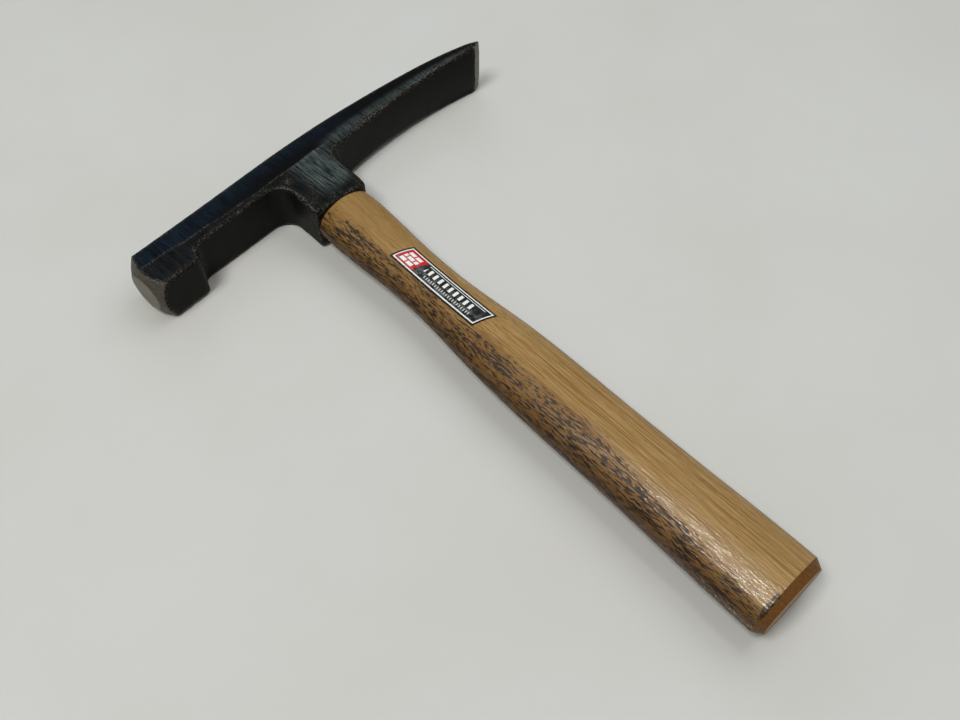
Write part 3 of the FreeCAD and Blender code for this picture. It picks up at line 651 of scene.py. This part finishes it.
@dataclass(frozen=True)
class LacqueredForging:
    """Black lacquer over a linished forging, worn along its edges and ground bare at its working ends, with a
    painted blue reflection and a painted sheen.
    """

    name: str = "head_steel"
    lacquer: Colour = shade(3, 4, 6)
    painted_blue_reflection: Colour = shade(12, 30, 44)
    satin: Colour = shade(5, 5, 4)
    streak_sheen: Colour = shade(90, 104, 101)
    worn: Colour = shade(140, 130, 112)
    bare: Colour = shade(128, 124, 110)
    ground: Colour = shade(72, 68, 58)
    roughness: float = 0.3
    specular: float = 0.12
    blade_arc: float = 272.0
    blade_bend: float = 14.0
    blade_depth: float = 20.6
    blade_thinning: float = 0.13

    def make(self, effects: Effects, axes: Axes) -> bpy.types.Material:
        """Build the finish.

        Args:
            effects: the shared groups.
            axes: the head's axes.

        Returns:
            The material.
        """
        material, wiring, shader = new_material(self.name)
        place = wiring.place(axes)
        cheek = wiring.step(wiring.math("ABSOLUTE", wiring.facing(axes.z)), 0.85, 0.97)
        fall = wiring.facing(axes.x)
        handle_side = wiring.times(cheek, wiring.step(fall, -0.015, 0.03))
        ridge = wiring.times(cheek, wiring.band(fall, -0.02, 0.034, 0.02))
        ground = wiring.group(effects.trees[EffectGroup.FINE_LINES], Place=place, Width=0.3, Length=12.0)
        lines = ground.outputs["Lines"]
        zones = HeadZones(place, cheek, handle_side, ridge, lines)
        bare = wiring.put("ShaderNodeAttribute", {"attribute_name": "ground_bare"}).outputs["Fac"]
        # The lacquer's black, with a painted blue reflection towards the crown.
        tone = self.coats_and_reflection(wiring, zones)
        # Painted sheen: bright streaks over the socket and along the blade, partly the ground lines under
        # thin lacquer.
        tone = wiring.mix(wiring.times(self.thin_lacquer_and_sheen(wiring, zones), 0.75), tone, self.streak_sheen)
        tone = wiring.mix(wiring.times(self.wear(wiring, effects, zones), 0.6), tone, self.worn)
        steel = wiring.mix(wiring.times(lines, 0.5), self.bare, self.ground)
        wiring.feed(shader.inputs["Base Color"], wiring.mix(bare, tone, steel))
        wiring.feed(shader.inputs["Metallic"], wiring.times(bare, 0.8))
        dull = wiring.math("MULTIPLY_ADD", lines, 0.14, self.roughness)
        dull = wiring.math("MULTIPLY_ADD", wiring.math("SUBTRACT", 1.0, cheek), 0.12, dull)
        wiring.feed(shader.inputs["Roughness"], dull)
        grain = wiring.noise(place, 1.6, 4.0, 0.65)
        height = wiring.times(grain, wiring.math("MULTIPLY_ADD", cheek, -0.6, 0.8))
        height = wiring.math("MULTIPLY_ADD", wiring.times(lines, cheek), 0.45, height)
        bump = wiring.put("ShaderNodeBump", None, Strength=0.35, Distance=0.00022, Height=height)
        wiring.feed(shader.inputs["Normal"], bump.outputs[0])
        shader.inputs["Specular IOR Level"].default_value = self.specular
        return material

    def coats_and_reflection(self, wiring: Wiring, zones: HeadZones) -> Socket:
        """The lacquer's tone, satin black and deeper black on the cheeks, with a painted blue reflection on
        the upper cheek towards the crown, in streaks along the ground lines.

        Args:
            wiring: where the nodes go.
            zones: where things are on the head.

        Returns:
            The tone.
        """
        x, y, _ = wiring.parts(zones.place)
        from_crown = wiring.math("SUBTRACT", x, wiring.times(y, y, 0.0016))
        reflection_reach = wiring.times(wiring.step(from_crown, 11.0, 2.0), wiring.step(y, 50.0, 5.0))
        crown_side = wiring.math("SUBTRACT", zones.cheek, zones.handle_side)
        tone = wiring.mix(zones.cheek, self.satin, self.lacquer)
        # Painted reflection: blue on the upper cheek towards the crown, following the ground lines.
        return wiring.mix(wiring.times(crown_side, reflection_reach, zones.lines), tone, self.painted_blue_reflection)

    def thin_lacquer_and_sheen(self, wiring: Wiring, zones: HeadZones) -> Socket:
        """Streaks of the ground lines under thin lacquer, over the socket and in a band along the blade, with
        a painted sheen: their brightness is a painted highlight, strongest across the middle of the socket
        and fading towards the rim and the sides.

        The blade's band lies between two shares of the cheek's depth, from the crown's arc. The arc drops
        by the square of the distance past the bend over twice its radius, and the cheek gets shallower in
        a straight line towards the cutting edge.

        Args:
            wiring: where the nodes go.
            zones: where things are on the head.

        Returns:
            How much of the streaks' tone shows, from 0 to 1.
        """
        x, y, _ = wiring.parts(zones.place)
        # Painted highlight on the socket: brightest across its middle, fading towards the rim and the sides.
        socket_sheen = wiring.times(wiring.band(y, -8.0, 12.0, 9.0), wiring.step(x, 41.0, 31.0))
        below_crown = wiring.math("MAXIMUM", zones.handle_side, zones.ridge)
        socket_sheen = wiring.times(wiring.math("MAXIMUM", socket_sheen, 0.08), below_crown)
        past_bend = wiring.math("MAXIMUM", wiring.math("SUBTRACT", y, self.blade_bend), 0.0)
        drop = wiring.times(past_bend, past_bend, 0.5 / self.blade_arc)
        depth = wiring.math("MULTIPLY_ADD", y, -self.blade_thinning, self.blade_depth)
        share = wiring.math("DIVIDE", wiring.math("SUBTRACT", x, drop), depth)
        along = wiring.times(wiring.step(y, 8.0, 22.0), wiring.step(y, 122.0, 80.0))
        blade_sheen = wiring.times(wiring.band(share, 0.56, 0.92, 0.24), along, zones.cheek, 0.62)
        return wiring.times(wiring.math("MAXIMUM", socket_sheen, blade_sheen), zones.lines)

    def wear(self, wiring: Wiring, effects: Effects, zones: HeadZones) -> Socket:
        """Specks rubbed bare along the ridge and the edges.

        Args:
            wiring: where the nodes go.
            effects: the shared groups.
            zones: where things are on the head.

        Returns:
            How bare each place is, from 0 to 1.
        """
        edge = wiring.put("ShaderNodeAttribute", {"attribute_name": "worn_edge"}).outputs["Fac"]
        mottle = effects.trees[EffectGroup.MOTTLE]
        specks = wiring.group(mottle, Place=zones.place, Size=0.8, Level=0.56).outputs["Amount"]
        cloud = wiring.group(mottle, Place=zones.place, Size=11.0, Softness=0.5).outputs["Amount"]
        rubbed = wiring.math("MULTIPLY_ADD", zones.ridge, 0.55, edge)
        return wiring.times(rubbed, specks, wiring.math("MULTIPLY_ADD", cloud, 0.7, 0.3))


@dataclass(frozen=True)
class WedgeSteel:
    """Plain rolled steel with a hammered end."""

    name: str = "wedge_steel"
    clean: Colour = shade(150, 148, 142)
    dull: Colour = shade(84, 80, 74)
    roughness: float = 0.42

    def make(self, effects: Effects, axes: Axes) -> bpy.types.Material:
        """Build the finish.

        Args:
            effects: the shared groups.
            axes: the handle's axes.

        Returns:
            The material.
        """
        material, wiring, shader = new_material(self.name)
        place = wiring.place(axes)
        stain = wiring.group(effects.trees[EffectGroup.MOTTLE], Place=place, Size=1.6, Softness=0.4)
        lines = wiring.group(effects.trees[EffectGroup.FINE_LINES], Place=place, Width=0.2, Length=4.0)
        tone = wiring.mix(stain.outputs[0], self.clean, self.dull)
        wiring.feed(shader.inputs["Base Color"], tone)
        rough = wiring.math("MULTIPLY_ADD", lines.outputs[0], 0.15, self.roughness)
        wiring.feed(shader.inputs["Roughness"], rough)
        bump = wiring.put("ShaderNodeBump", None, Strength=0.4, Distance=0.0002)
        wiring.feed(bump.inputs["Height"], stain.outputs[0])
        wiring.feed(shader.inputs["Normal"], bump.outputs[0])
        shader.inputs["Metallic"].default_value = 1.0
        return material


@dataclass(frozen=True)
class PrintedLabel:
    """A glossy printed label: black edge, white line, a red block with bricks and a black field of bars."""

    name: str = "label_print"
    length: float = 52.0
    width: float = 10.8
    rake: float = 3.9
    edge: float = 0.85
    line: float = 0.55
    block: float = 12.2
    red: Colour = shade(190, 20, 34)
    black: Colour = shade(14, 15, 16)
    white: Colour = shade(236, 236, 230)
    silver: Colour = shade(120, 132, 128)
    roughness: float = 0.22
    coat: float = 0.6

    def make(self, effects: Effects, axes: Axes) -> bpy.types.Material:
        """Build the finish.

        Args:
            effects: the shared groups.
            axes: axes on the label's nearest corner, X along the label.

        Returns:
            The material.
        """
        material, wiring, shader = new_material(self.name)
        place = wiring.place(axes)
        x, y, _ = wiring.parts(place)
        along = wiring.math("MULTIPLY_ADD", y, -self.rake / self.width, x)
        ends = wiring.math("MINIMUM", along, wiring.math("SUBTRACT", self.length, along))
        sides = wiring.math("MINIMUM", y, wiring.math("SUBTRACT", self.width, y))
        rim = wiring.math("MINIMUM", ends, sides)
        inner = self.edge + self.line
        frame_line = wiring.band(rim, self.edge, inner, 0.12)
        inside = wiring.step(rim, inner - 0.06, inner + 0.06)
        in_block = wiring.step(along, self.block + 0.06, self.block - 0.06)
        in_field = wiring.math("SUBTRACT", 1.0, in_block)
        bricks = wiring.times(self.bricks(wiring, along, y), in_block)
        bars = wiring.times(self.bars(wiring, along, y), in_field)
        # The lacquer over the print has crazed, which shows as pale crumpled patches in the black.
        craze = wiring.group(effects.trees[EffectGroup.MOTTLE], Place=place, Size=1.7, Level=0.52)
        crumpled = wiring.math("MULTIPLY_ADD", wiring.step(y, 7.0, 3.5), 0.35, 0.12)
        field = wiring.mix(in_block, self.black, self.red)
        field = wiring.mix(wiring.times(craze.outputs["Amount"], crumpled), field, self.silver)
        field = wiring.mix(wiring.math("MAXIMUM", bricks, bars), field, self.white)
        tone = wiring.mix(inside, self.black, field)
        wiring.feed(shader.inputs["Base Color"], wiring.mix(frame_line, tone, self.white))
        bump = wiring.put("ShaderNodeBump", None, Strength=0.35, Distance=0.0002)
        wiring.feed(bump.inputs["Height"], craze.outputs["Amount"])
        wiring.feed(shader.inputs["Normal"], bump.outputs[0])
        shader.inputs["Roughness"].default_value = self.roughness
        shader.inputs["Coat Weight"].default_value = self.coat
        return material

    def bricks(self, wiring: Wiring, along: Socket, y: Socket) -> Socket:
        """Courses of bricks, every other course shifted by half a brick.

        Args:
            wiring: where the nodes go.
            along: millimetres along the label, from its raked end.
            y: millimetres across the label.

        Returns:
            1 on a brick, 0 on a joint.
        """
        course = wiring.math("DIVIDE", wiring.math("SUBTRACT", y, 2.0), 2.15)
        shift = wiring.times(wiring.math("PINGPONG", wiring.math("FLOOR", course), 1.0), 0.5)
        brick = wiring.math("ADD", wiring.math("DIVIDE", wiring.math("SUBTRACT", along, 2.6), 3.9), shift)
        lengths = wiring.band(wiring.math("FRACT", brick), 0.1, 0.92, 0.05)
        heights = wiring.band(wiring.math("FRACT", course), 0.12, 0.86, 0.06)
        window = wiring.times(wiring.band(along, 2.9, 10.6, 0.1), wiring.band(y, 2.1, 8.3, 0.1))
        return wiring.times(lengths, heights, window)

    def bars(self, wiring: Wiring, along: Socket, y: Socket) -> Socket:
        """Slanted bars: tall ones over a row of short ones, under a thin line.

        Args:
            wiring: where the nodes go.
            along: millimetres along the label, from its raked end.
            y: millimetres across the label.

        Returns:
            1 on a bar, less on a short one, 0 between them.
        """
        leaning = wiring.math("MULTIPLY_ADD", y, 0.35, along)
        tall = wiring.band(wiring.math("FRACT", wiring.math("DIVIDE", leaning, 3.1)), 0.2, 0.66, 0.05)
        tall = wiring.times(tall, wiring.band(y, 4.7, 7.6, 0.12), wiring.band(along, 15.0, 44.0, 0.1))
        short = wiring.band(wiring.math("FRACT", wiring.math("DIVIDE", leaning, 1.35)), 0.2, 0.6, 0.08)
        short = wiring.times(short, wiring.band(y, 2.4, 3.6, 0.12), wiring.band(along, 18.0, 46.0, 0.1))
        rule = wiring.times(wiring.band(y, 8.35, 8.65, 0.1), wiring.band(along, 14.2, 48.0, 0.1))
        return wiring.math("MAXIMUM", wiring.math("MAXIMUM", tall, wiring.times(short, 0.7)), rule)


@dataclass(frozen=True)
class TableTop:
    """A pale, glossy, plain table top with the faintest unevenness."""

    name: str = "table_top"
    tone: Colour = shade(205, 206, 202)
    warm: Colour = shade(200, 199, 192)
    roughness: float = 0.12

    def make(self, effects: Effects, axes: Axes) -> bpy.types.Material:
        """Build the finish.

        Args:
            effects: the shared groups.
            axes: the handle's axes.

        Returns:
            The material.
        """
        material, wiring, shader = new_material(self.name)
        place = wiring.place(axes)
        patch = wiring.group(effects.trees[EffectGroup.MOTTLE], Place=place, Size=160.0, Softness=0.6)
        wiring.feed(shader.inputs["Base Color"], wiring.mix(patch.outputs[0], self.tone, self.warm))
        shader.inputs["Roughness"].default_value = self.roughness
        return material


# ---------------------------------------------------------------------------------------------------------
# Sub-assemblies
# ---------------------------------------------------------------------------------------------------------


def dress(node: bpy.types.Object, material: bpy.types.Material) -> None:
    """Give a piece one finish all over.

    Args:
        node: the piece.
        material: its finish.
    """
    if not node.material_slots:
        node.data.materials.append(material)
    for slot in node.material_slots:
        slot.material = material


def oval(half_y: float, half_z: float, end_share: float, count: int) -> np.ndarray:
    """A closed oval of four tangent arcs, told by the direction it faces.

    Each point is the centre of its arc plus the arc's radius times the direction it faces. The two end
    arcs are centred on Y, and the two long arcs are centred on Z, across from their own side.

    Args:
        half_y: half the long way.
        half_z: half the short way.
        end_share: radius of the ends, as a share of half_z.
        count: number of points.

    Returns:
        An array of count rows of (y, z).
    """
    end = half_z * end_share
    reach = half_y - end
    side = (reach**2 + half_z**2 - end**2) / (2 * (half_z - end))
    hub = side - half_z
    turn_over = math.atan2(hub, reach)
    angle = np.linspace(0.0, 2 * np.pi, count, endpoint=False)
    facing = np.stack((np.cos(angle), np.sin(angle)), axis=1)
    on_end = np.abs(facing[:, 1]) <= math.sin(turn_over)
    centre_y = np.where(on_end, reach * np.sign(facing[:, 0]), 0.0)
    centre_z = np.where(on_end, 0.0, -hub * np.sign(facing[:, 1]))
    radius = np.where(on_end, end, side)
    return np.stack((centre_y, centre_z), axis=1) + radius[:, None] * facing


def tube_faces(rings: int, count: int) -> list[tuple[int, ...]]:
    """Faces of a closed tube of rings with a cap at each end, pointing outwards.

    Args:
        rings: number of rings.
        count: points in each ring.

    Returns:
        The faces as rows of point numbers.
    """
    ring = np.arange(rings - 1)[:, None] * count
    here = np.arange(count)[None, :]
    after = (here + 1) % count
    walls = np.stack((ring + here, ring + after, ring + count + after, ring + count + here), axis=-1)
    caps = [tuple(range(count - 1, -1, -1)), tuple(range((rings - 1) * count, rings * count))]
    return [tuple(face) for face in walls.reshape(-1, 4).tolist()] + caps


@dataclass
class Forging:
    """The hammer head: a forging with soft corners, linished cheeks and ground working ends."""

    axes: Axes
    straight: Axes
    face_reach: float
    voxel: float = 0.0005
    tenon_rim: tuple[float, float] = (0.0132, 0.0096)
    tenon_crown: tuple[float, float] = (0.0112, 0.0070)
    socket_depth: float = 0.0426
    eye_clearance: float = 0.00005
    oval_end_share: float = 0.84
    blade_reach: float = 0.1124
    blade_bulge: float = 0.0009
    edge_slope: float = 18.5
    soft_rounds: int = 5
    socket_rounds: int = 150
    end_softness: float = 0.3
    crisp_reach: float = 0.008
    wear_height: float = 0.00009
    wave: float = 0.00003
    wave_turns: tuple[float, float, float] = (420.0, 310.0, 370.0)
    cone_bare: float = 0.45
    oval_points: int = 96
    node: str = "hammer_head"
    name: str = "forged_head"

    def taper(self, start: float, end: float, grow: float, name: str) -> bpy.types.Object:
        """A closed oval taper through the head along the handle.

        Every ring is the oval whose halves change in a straight line from crown to rim.

        Args:
            start: where it starts, along the handle.
            end: where it ends.
            grow: added to both halves.
            name: the object's name.

        Returns:
            The taper as a mesh object.
        """
        rings = []
        for x in (start, end):
            share = x / self.socket_depth
            half_y = self.tenon_crown[0] + share * (self.tenon_rim[0] - self.tenon_crown[0]) + grow
            half_z = self.tenon_crown[1] + share * (self.tenon_rim[1] - self.tenon_crown[1]) + grow
            ring = oval(half_y, half_z, self.oval_end_share, self.oval_points)
            rings.append(np.column_stack((np.full(self.oval_points, x), ring)))
        points = self.straight.out(np.concatenate(rings))
        mesh = bpy.data.meshes.new(name)
        mesh.from_pydata(points.tolist(), [], tube_faces(2, self.oval_points))
        item = bpy.data.objects.new(name, mesh)
        bpy.context.scene.collection.objects.link(item)
        return item

    def finish_modifiers(self, item: bpy.types.Object) -> None:
        """Apply an object's modifiers to its mesh.

        Args:
            item: the object; its mesh is replaced.
        """
        solved = item.evaluated_get(bpy.context.evaluated_depsgraph_get())
        mesh = bpy.data.meshes.new_from_object(solved)
        item.modifiers.clear()
        item.data = mesh

    def blank(self) -> bpy.types.Object:
        """A remeshed copy of the CAD head with its eye filled in.

        Returns:
            The blank.
        """
        source = frame["nodes"][self.node]
        blank = bpy.data.objects.new(self.name, source.data.copy())
        bpy.context.scene.collection.objects.link(blank)
        plug = self.taper(0.002, self.socket_depth - 0.001, 0.0006, "eye_plug")
        weld = blank.modifiers.new("weld", "WELD")
        weld.merge_threshold = 1e-6
        fill = blank.modifiers.new("fill", "BOOLEAN")
        fill.operation = "UNION"
        fill.object = plug
        remesh = blank.modifiers.new("remesh", "REMESH")
        remesh.mode = "VOXEL"
        remesh.voxel_size = self.voxel
        remesh.adaptivity = 0.0
        self.finish_modifiers(blank)
        bpy.data.objects.remove(plug)
        return blank

    def shape(self, blank: bpy.types.Object) -> None:
        """Soften, bulge and grind the blank, and mark what is bare and what is worn.

        Softening moves each point towards the middle of its neighbours, again and again. The inner face of
        the blade is raised by a bulge that falls with the square of the distance from the middle. Grinding
        puts every point outside a plane back on that plane. Wear is how far a point stands out from its
        softened place. The hand-forged waviness is the product of two sines, one along the head and one
        slanting across it.

        Args:
            blank: the remeshed head; its mesh is changed.
        """
        mesh = blank.data
        count = len(mesh.vertices)
        flat = np.empty(count * 3)
        mesh.vertices.foreach_get("co", flat)
        points = self.axes.into(flat.reshape(-1, 3))
        pairs = np.empty(len(mesh.edges) * 2, dtype=np.int64)
        mesh.edges.foreach_get("vertices", pairs)
        pairs = pairs.reshape(-1, 2)
        neighbours = Neighbours(pairs, count)
        at_poll = points[:, 1] < self.crisp_reach - self.face_reach
        crisp = at_poll | (points[:, 1] > self.blade_reach - self.crisp_reach)
        weight = np.where(crisp, self.end_softness, 1.0)
        points = neighbours.soften(points, weight, self.soft_rounds)
        points = neighbours.soften(points, self.socket_softness(points), self.socket_rounds)
        normals = neighbours.normals(points, mesh)
        points = self.bulge_blade(points, normals)
        points = self.grind_edge(points)
        normals = neighbours.normals(points, mesh)
        softer = neighbours.soften(points, np.ones(count), 6)
        stand_out = np.einsum("ij,ij->i", points - softer, normals)
        worn = np.clip(stand_out / self.wear_height, 0.0, 1.0)
        turns = points * np.array(self.wave_turns)
        waves = np.sin(turns[:, 1]) * np.sin(turns[:, 0] + turns[:, 2])
        points = points + normals * (self.wave * waves * np.clip(1 - worn, 0, 1))[:, None]
        placed = self.axes.out(points)
        mesh.vertices.foreach_set("co", placed.ravel())
        for name, values in (("ground_bare", self.bare(points, normals)), ("worn_edge", worn)):
            layer = mesh.attributes.new(name, "FLOAT", "POINT")
            layer.data.foreach_set("value", np.ascontiguousarray(values, dtype=np.float32))
        mesh.update()

    def socket_softness(self, points: np.ndarray) -> np.ndarray:
        """How much each point is softened further: the socket's corners on the blade side.

        Args:
            points: places in the head's axes.

        Returns:
            A weight from 0 to 1 for each point.
        """
        in_socket = np.clip((points[:, 0] - 0.017) / 0.008, 0, 1)
        near_rim = np.clip((self.socket_depth + 0.004 - points[:, 0]) / 0.004, 0, 1)
        blade_side = np.clip((points[:, 1] - 0.006) / 0.006, 0, 1)
        blade_side *= np.clip((0.03 - points[:, 1]) / 0.01, 0, 1)
        poll_side = 0.12 * np.clip((-0.006 - points[:, 1]) / 0.006, 0, 1)
        return in_socket * near_rim * (blade_side + poll_side)

    def bulge_blade(self, points: np.ndarray, normals: np.ndarray) -> np.ndarray:
        """Raise the inner face of the blade along its middle.

        Args:
            points: places in the head's axes.
            normals: their outward directions.

        Returns:
            The new places.
        """
        inner = np.clip((normals[:, 0] - 0.6) / 0.3, 0, 1)
        along = np.clip((points[:, 1] - 0.028) / 0.03, 0, 1)
        middle = np.clip(1 - ((points[:, 2] - 0.001) / 0.0125) ** 2, 0, 1)
        lift = self.blade_bulge * inner * along * middle
        return points + np.array((1.0, 0.0, 0.0)) * lift[:, None]

    def grind_edge(self, points: np.ndarray) -> np.ndarray:
        """Grind the inner bevel of the cutting edge flat.

        Args:
            points: places in the head's axes.

        Returns:
            The new places.
        """
        tip = points[points[:, 1] > self.blade_reach - 0.0006]
        slope = math.radians(self.edge_slope)
        outward = np.array((math.cos(slope), math.sin(slope), 0.0))
        level = np.percentile(tip @ outward, 90)
        over = np.where(points[:, 1] > self.blade_reach - 0.02, points @ outward - level, 0.0)
        return points - np.clip(over, 0, None)[:, None] * outward

    def bare(self, points: np.ndarray, normals: np.ndarray) -> np.ndarray:
        """Where the head is ground bare: the striking face with its cone, and the blade's bevels.

        Args:
            points: places in the head's axes.
            normals: their outward directions.

        Returns:
            1 where bare, 0 where lacquered.
        """
        at_poll = points[:, 1] < -self.face_reach + 0.012
        face = at_poll * np.clip((-normals[:, 1] - 0.45) / 0.2, 0, self.cone_bare)
        face = np.maximum(face, at_poll * np.clip((-normals[:, 1] - 0.93) / 0.04, 0, 1))
        at_tip = points[:, 1] > self.blade_reach - 0.011
        edge = at_tip * np.clip((normals[:, 1] - 0.17) / 0.06, 0, 1)
        return np.maximum(face, edge)

    def build(self, material: bpy.types.Material) -> None:
        """Make the head, cut its eye and put it in the CAD head's place.

        Args:
            material: the head's finish.
        """
        piece = self.blank()
        self.shape(piece)
        cutter = self.taper(-0.02, self.socket_depth + 0.02, self.eye_clearance, "eye_cutter")
        cut = piece.modifiers.new("eye", "BOOLEAN")
        cut.operation = "DIFFERENCE"
        cut.object = cutter
        self.finish_modifiers(piece)
        bpy.data.objects.remove(cutter)
        piece.data.materials.clear()
        dress(piece, material)
        piece.data.shade_smooth()
        piece.data.set_sharp_from_angle(angle=math.radians(40))
        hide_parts(self.node)
        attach(piece, "root")
        LOG.info("%s: %d faces, for CAD node %s", piece.name, len(piece.data.polygons), self.node)


class Neighbours:
    """Which points of a mesh are joined, for work on whole arrays."""

    def __init__(self, pairs: np.ndarray, count: int) -> None:
        """Count how many neighbours each point has.

        Args:
            pairs: the two point numbers of each edge.
            count: number of points.
        """
        self.start = np.concatenate((pairs[:, 0], pairs[:, 1]))
        self.end = np.concatenate((pairs[:, 1], pairs[:, 0]))
        self.count = count
        self.number = np.bincount(self.start, minlength=count)[:, None]

    def mean(self, values: np.ndarray) -> np.ndarray:
        """The mean of each point's neighbours."""
        total = [np.bincount(self.start, values[self.end, axis], self.count) for axis in range(3)]
        return np.stack(total, axis=1) / self.number

    def soften(self, points: np.ndarray, weight: np.ndarray, rounds: int) -> np.ndarray:
        """Move each point half way to the mean of its neighbours, some rounds.

        Args:
            points: the places.
            weight: how much each point takes part, 0 to 1.
            rounds: how many times.

        Returns:
            The softened places.
        """
        share = 0.5 * weight[:, None]
        for _ in range(rounds):
            points = points + share * (self.mean(points) - points)
        return points

    def normals(self, points: np.ndarray, mesh: bpy.types.Mesh) -> np.ndarray:
        """Outward direction at each point, from the cross product of each face's diagonals.

        Args:
            points: the places.
            mesh: the mesh, all of quads, that the places belong to.

        Returns:
            One unit vector for each point.
        """
        corners = np.empty(len(mesh.loops), dtype=np.int64)
        mesh.loops.foreach_get("vertex_index", corners)
        quads = corners.reshape(-1, 4)
        first = points[quads[:, 2]] - points[quads[:, 0]]
        second = points[quads[:, 3]] - points[quads[:, 1]]
        face = np.repeat(np.cross(first, second), 4, axis=0)
        total = [np.bincount(quads.ravel(), face[:, axis], self.count) for axis in range(3)]
        summed = np.stack(total, axis=1)
        return summed / np.maximum(np.linalg.norm(summed, axis=1), 1e-20)[:, None]


@dataclass
class Handle:
    """The wooden handle, with the wedges that hold it and the label on it."""

    axes: Axes
    length: float = OVERALL_LENGTH
    chamfer: float = 0.0039
    label_start: float = 0.0809
    label_turn: float = -0.3

    def build(self, effects: Effects) -> None:
        """Dress the handle, the wedges and the label.

        Args:
            effects: the shared groups.
        """
        print_on = PrintedLabel()
        corner = self.axes.moved(self.label_start, -print_on.width * MM / 2, 0.0)
        chamfer_at, end_at = (self.length - self.chamfer) / MM, self.length / MM
        finishes = {
            "handle": LacqueredWood().make(effects, self.axes, chamfer_at, end_at),
            "wood_wedge": WedgeWood().make(effects, self.axes),
            "steel_wedges": WedgeSteel().make(effects, self.axes),
            "label": print_on.make(effects, corner.turned(self.label_turn)),
        }
        for name, material in finishes.items():
            dress(frame["nodes"][name], material)
            LOG.info("%s: %d faces, CAD node kept", name, len(frame["nodes"][name].data.polygons))


# ---------------------------------------------------------------------------------------------------------
# Studio
# ---------------------------------------------------------------------------------------------------------


@dataclass(frozen=True)
class Lamp:
    """A square lamp aimed at the middle of the hammer: a soft one for light, or a small one for glints."""

    name: str
    direction: tuple[float, float, float]
    distance: float
    size: float
    power: float
    colour: tuple[float, float, float] = (1.0, 1.0, 1.0)
    glint: bool = False

    def make(self) -> None:
        """Put the lamp up."""
        lamp = bpy.data.lights.new(self.name, "AREA")
        lamp.shape = "SQUARE"
        lamp.size = self.size
        lamp.energy = self.power
        lamp.color = self.colour
        item = bpy.data.objects.new(self.name, lamp)
        item.visible_glossy = self.glint
        item.visible_diffuse = not self.glint
        bpy.context.scene.collection.objects.link(item)
        towards = Vector(self.direction).normalized()
        item.location = towards * self.distance
        item.rotation_euler = towards.to_track_quat("Z", "Y").to_euler()


@dataclass(frozen=True)
class Viewpoint:
    """Where the camera stands: its place, which way it looks and its lens."""

    place: tuple[float, float, float] = (0.16134, -0.18038, 0.35261)
    yaw: float = 135.909
    pitch: float = 56.058
    roll: float = -0.919
    lens: float = 37.536

    def make(self) -> None:
        """Set the camera up, upright on its yaw and pitch and then rolled."""
        yaw, pitch, roll = (math.radians(value) for value in (self.yaw, self.pitch, self.roll))
        level = math.cos(pitch)
        forward = Vector((math.cos(yaw) * level, math.sin(yaw) * level, -math.sin(pitch)))
        side = Vector((math.sin(yaw), -math.cos(yaw), 0.0))
        below = forward.cross(side)
        right = side * math.cos(roll) + below * math.sin(roll)
        down = below * math.cos(roll) - side * math.sin(roll)
        camera = bpy.data.cameras.new("camera")
        camera.lens = self.lens
        camera.clip_start = 0.01
        item = bpy.data.objects.new("camera", camera)
        bpy.context.scene.collection.objects.link(item)
        turn = Matrix((right, -down, -forward)).transposed().to_4x4()
        item.matrix_world = Matrix.Translation(self.place) @ turn
        bpy.context.scene.camera = item


@dataclass
class Studio:
    """A plain pale table, soft lamps and a quiet room."""

    table_reach: float = 6.0
    room: Colour = (0.20, 0.20, 0.20, 1.0)
    horizon: Colour = shade(204, 205, 202)
    lamps: tuple[Lamp, ...] = (
        Lamp("ceiling", (0.0, 0.5, 0.8), 1.7, 1.3, 10.0),
        Lamp("shoulder_lamp", (-0.02, -0.41, 0.9), 1.7, 0.5, 17.0),
        Lamp("shoulder_glint", (-0.02, -0.41, 0.9), 1.7, 0.22, 36.0, glint=True),
        Lamp("window", (-0.8, 0.35, 0.55), 1.8, 0.9, 4.0, (0.72, 0.85, 1.0)),
    )

    def table(self, effects: Effects, axes: Axes) -> None:
        """Lay the table top at height 0.

        Args:
            effects: the shared groups.
            axes: the handle's axes.
        """
        reach = self.table_reach
        corners = [(-reach, -reach, 0.0), (reach, -reach, 0.0), (reach, reach, 0.0), (-reach, reach, 0.0)]
        mesh = bpy.data.meshes.new("table")
        mesh.from_pydata(corners, [], [(0, 1, 2, 3)])
        table = bpy.data.objects.new("table", mesh)
        bpy.context.scene.collection.objects.link(table)
        dress(table, TableTop().make(effects, axes))
        table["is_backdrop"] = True

    def air(self) -> None:
        """Fill the room with quiet light, and show the table's own tone where nothing stands."""
        world = bpy.data.worlds.new("room")
        bpy.context.scene.world = world
        world.use_nodes = True
        wiring = Wiring(world.node_tree)
        seen = wiring.put("ShaderNodeLightPath").outputs["Is Camera Ray"]
        background = world.node_tree.nodes["Background"]
        wiring.feed(background.inputs["Color"], wiring.mix(seen, self.room, self.horizon))

    def build(self, effects: Effects, axes: Axes) -> None:
        """Set up table, room, lamps and camera.

        Args:
            effects: the shared groups.
            axes: the handle's axes.
        """
        self.table(effects, axes)
        self.air()
        for lamp in self.lamps:
            lamp.make()
        Viewpoint().make()
        bpy.context.scene.view_settings.view_transform = "Standard"


def corners() -> list[list[float]]:
    """The whole object's box as two plain lists."""
    return [[float(part) for part in corner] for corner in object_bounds()]


def main() -> None:
    """Build the hammer and its studio."""
    logging.basicConfig(level=logging.INFO, format="%(name)s: %(message)s")
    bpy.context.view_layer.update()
    found = HammerAxes()
    effects = Effects()
    straight, leaning = found.handle(), found.head()
    Forging(leaning, straight, found.face_reach()).build(LacqueredForging().make(effects, leaning))
    Handle(straight).build(effects)
    Studio().build(effects, straight)


if __name__ == "__main__":
    main()
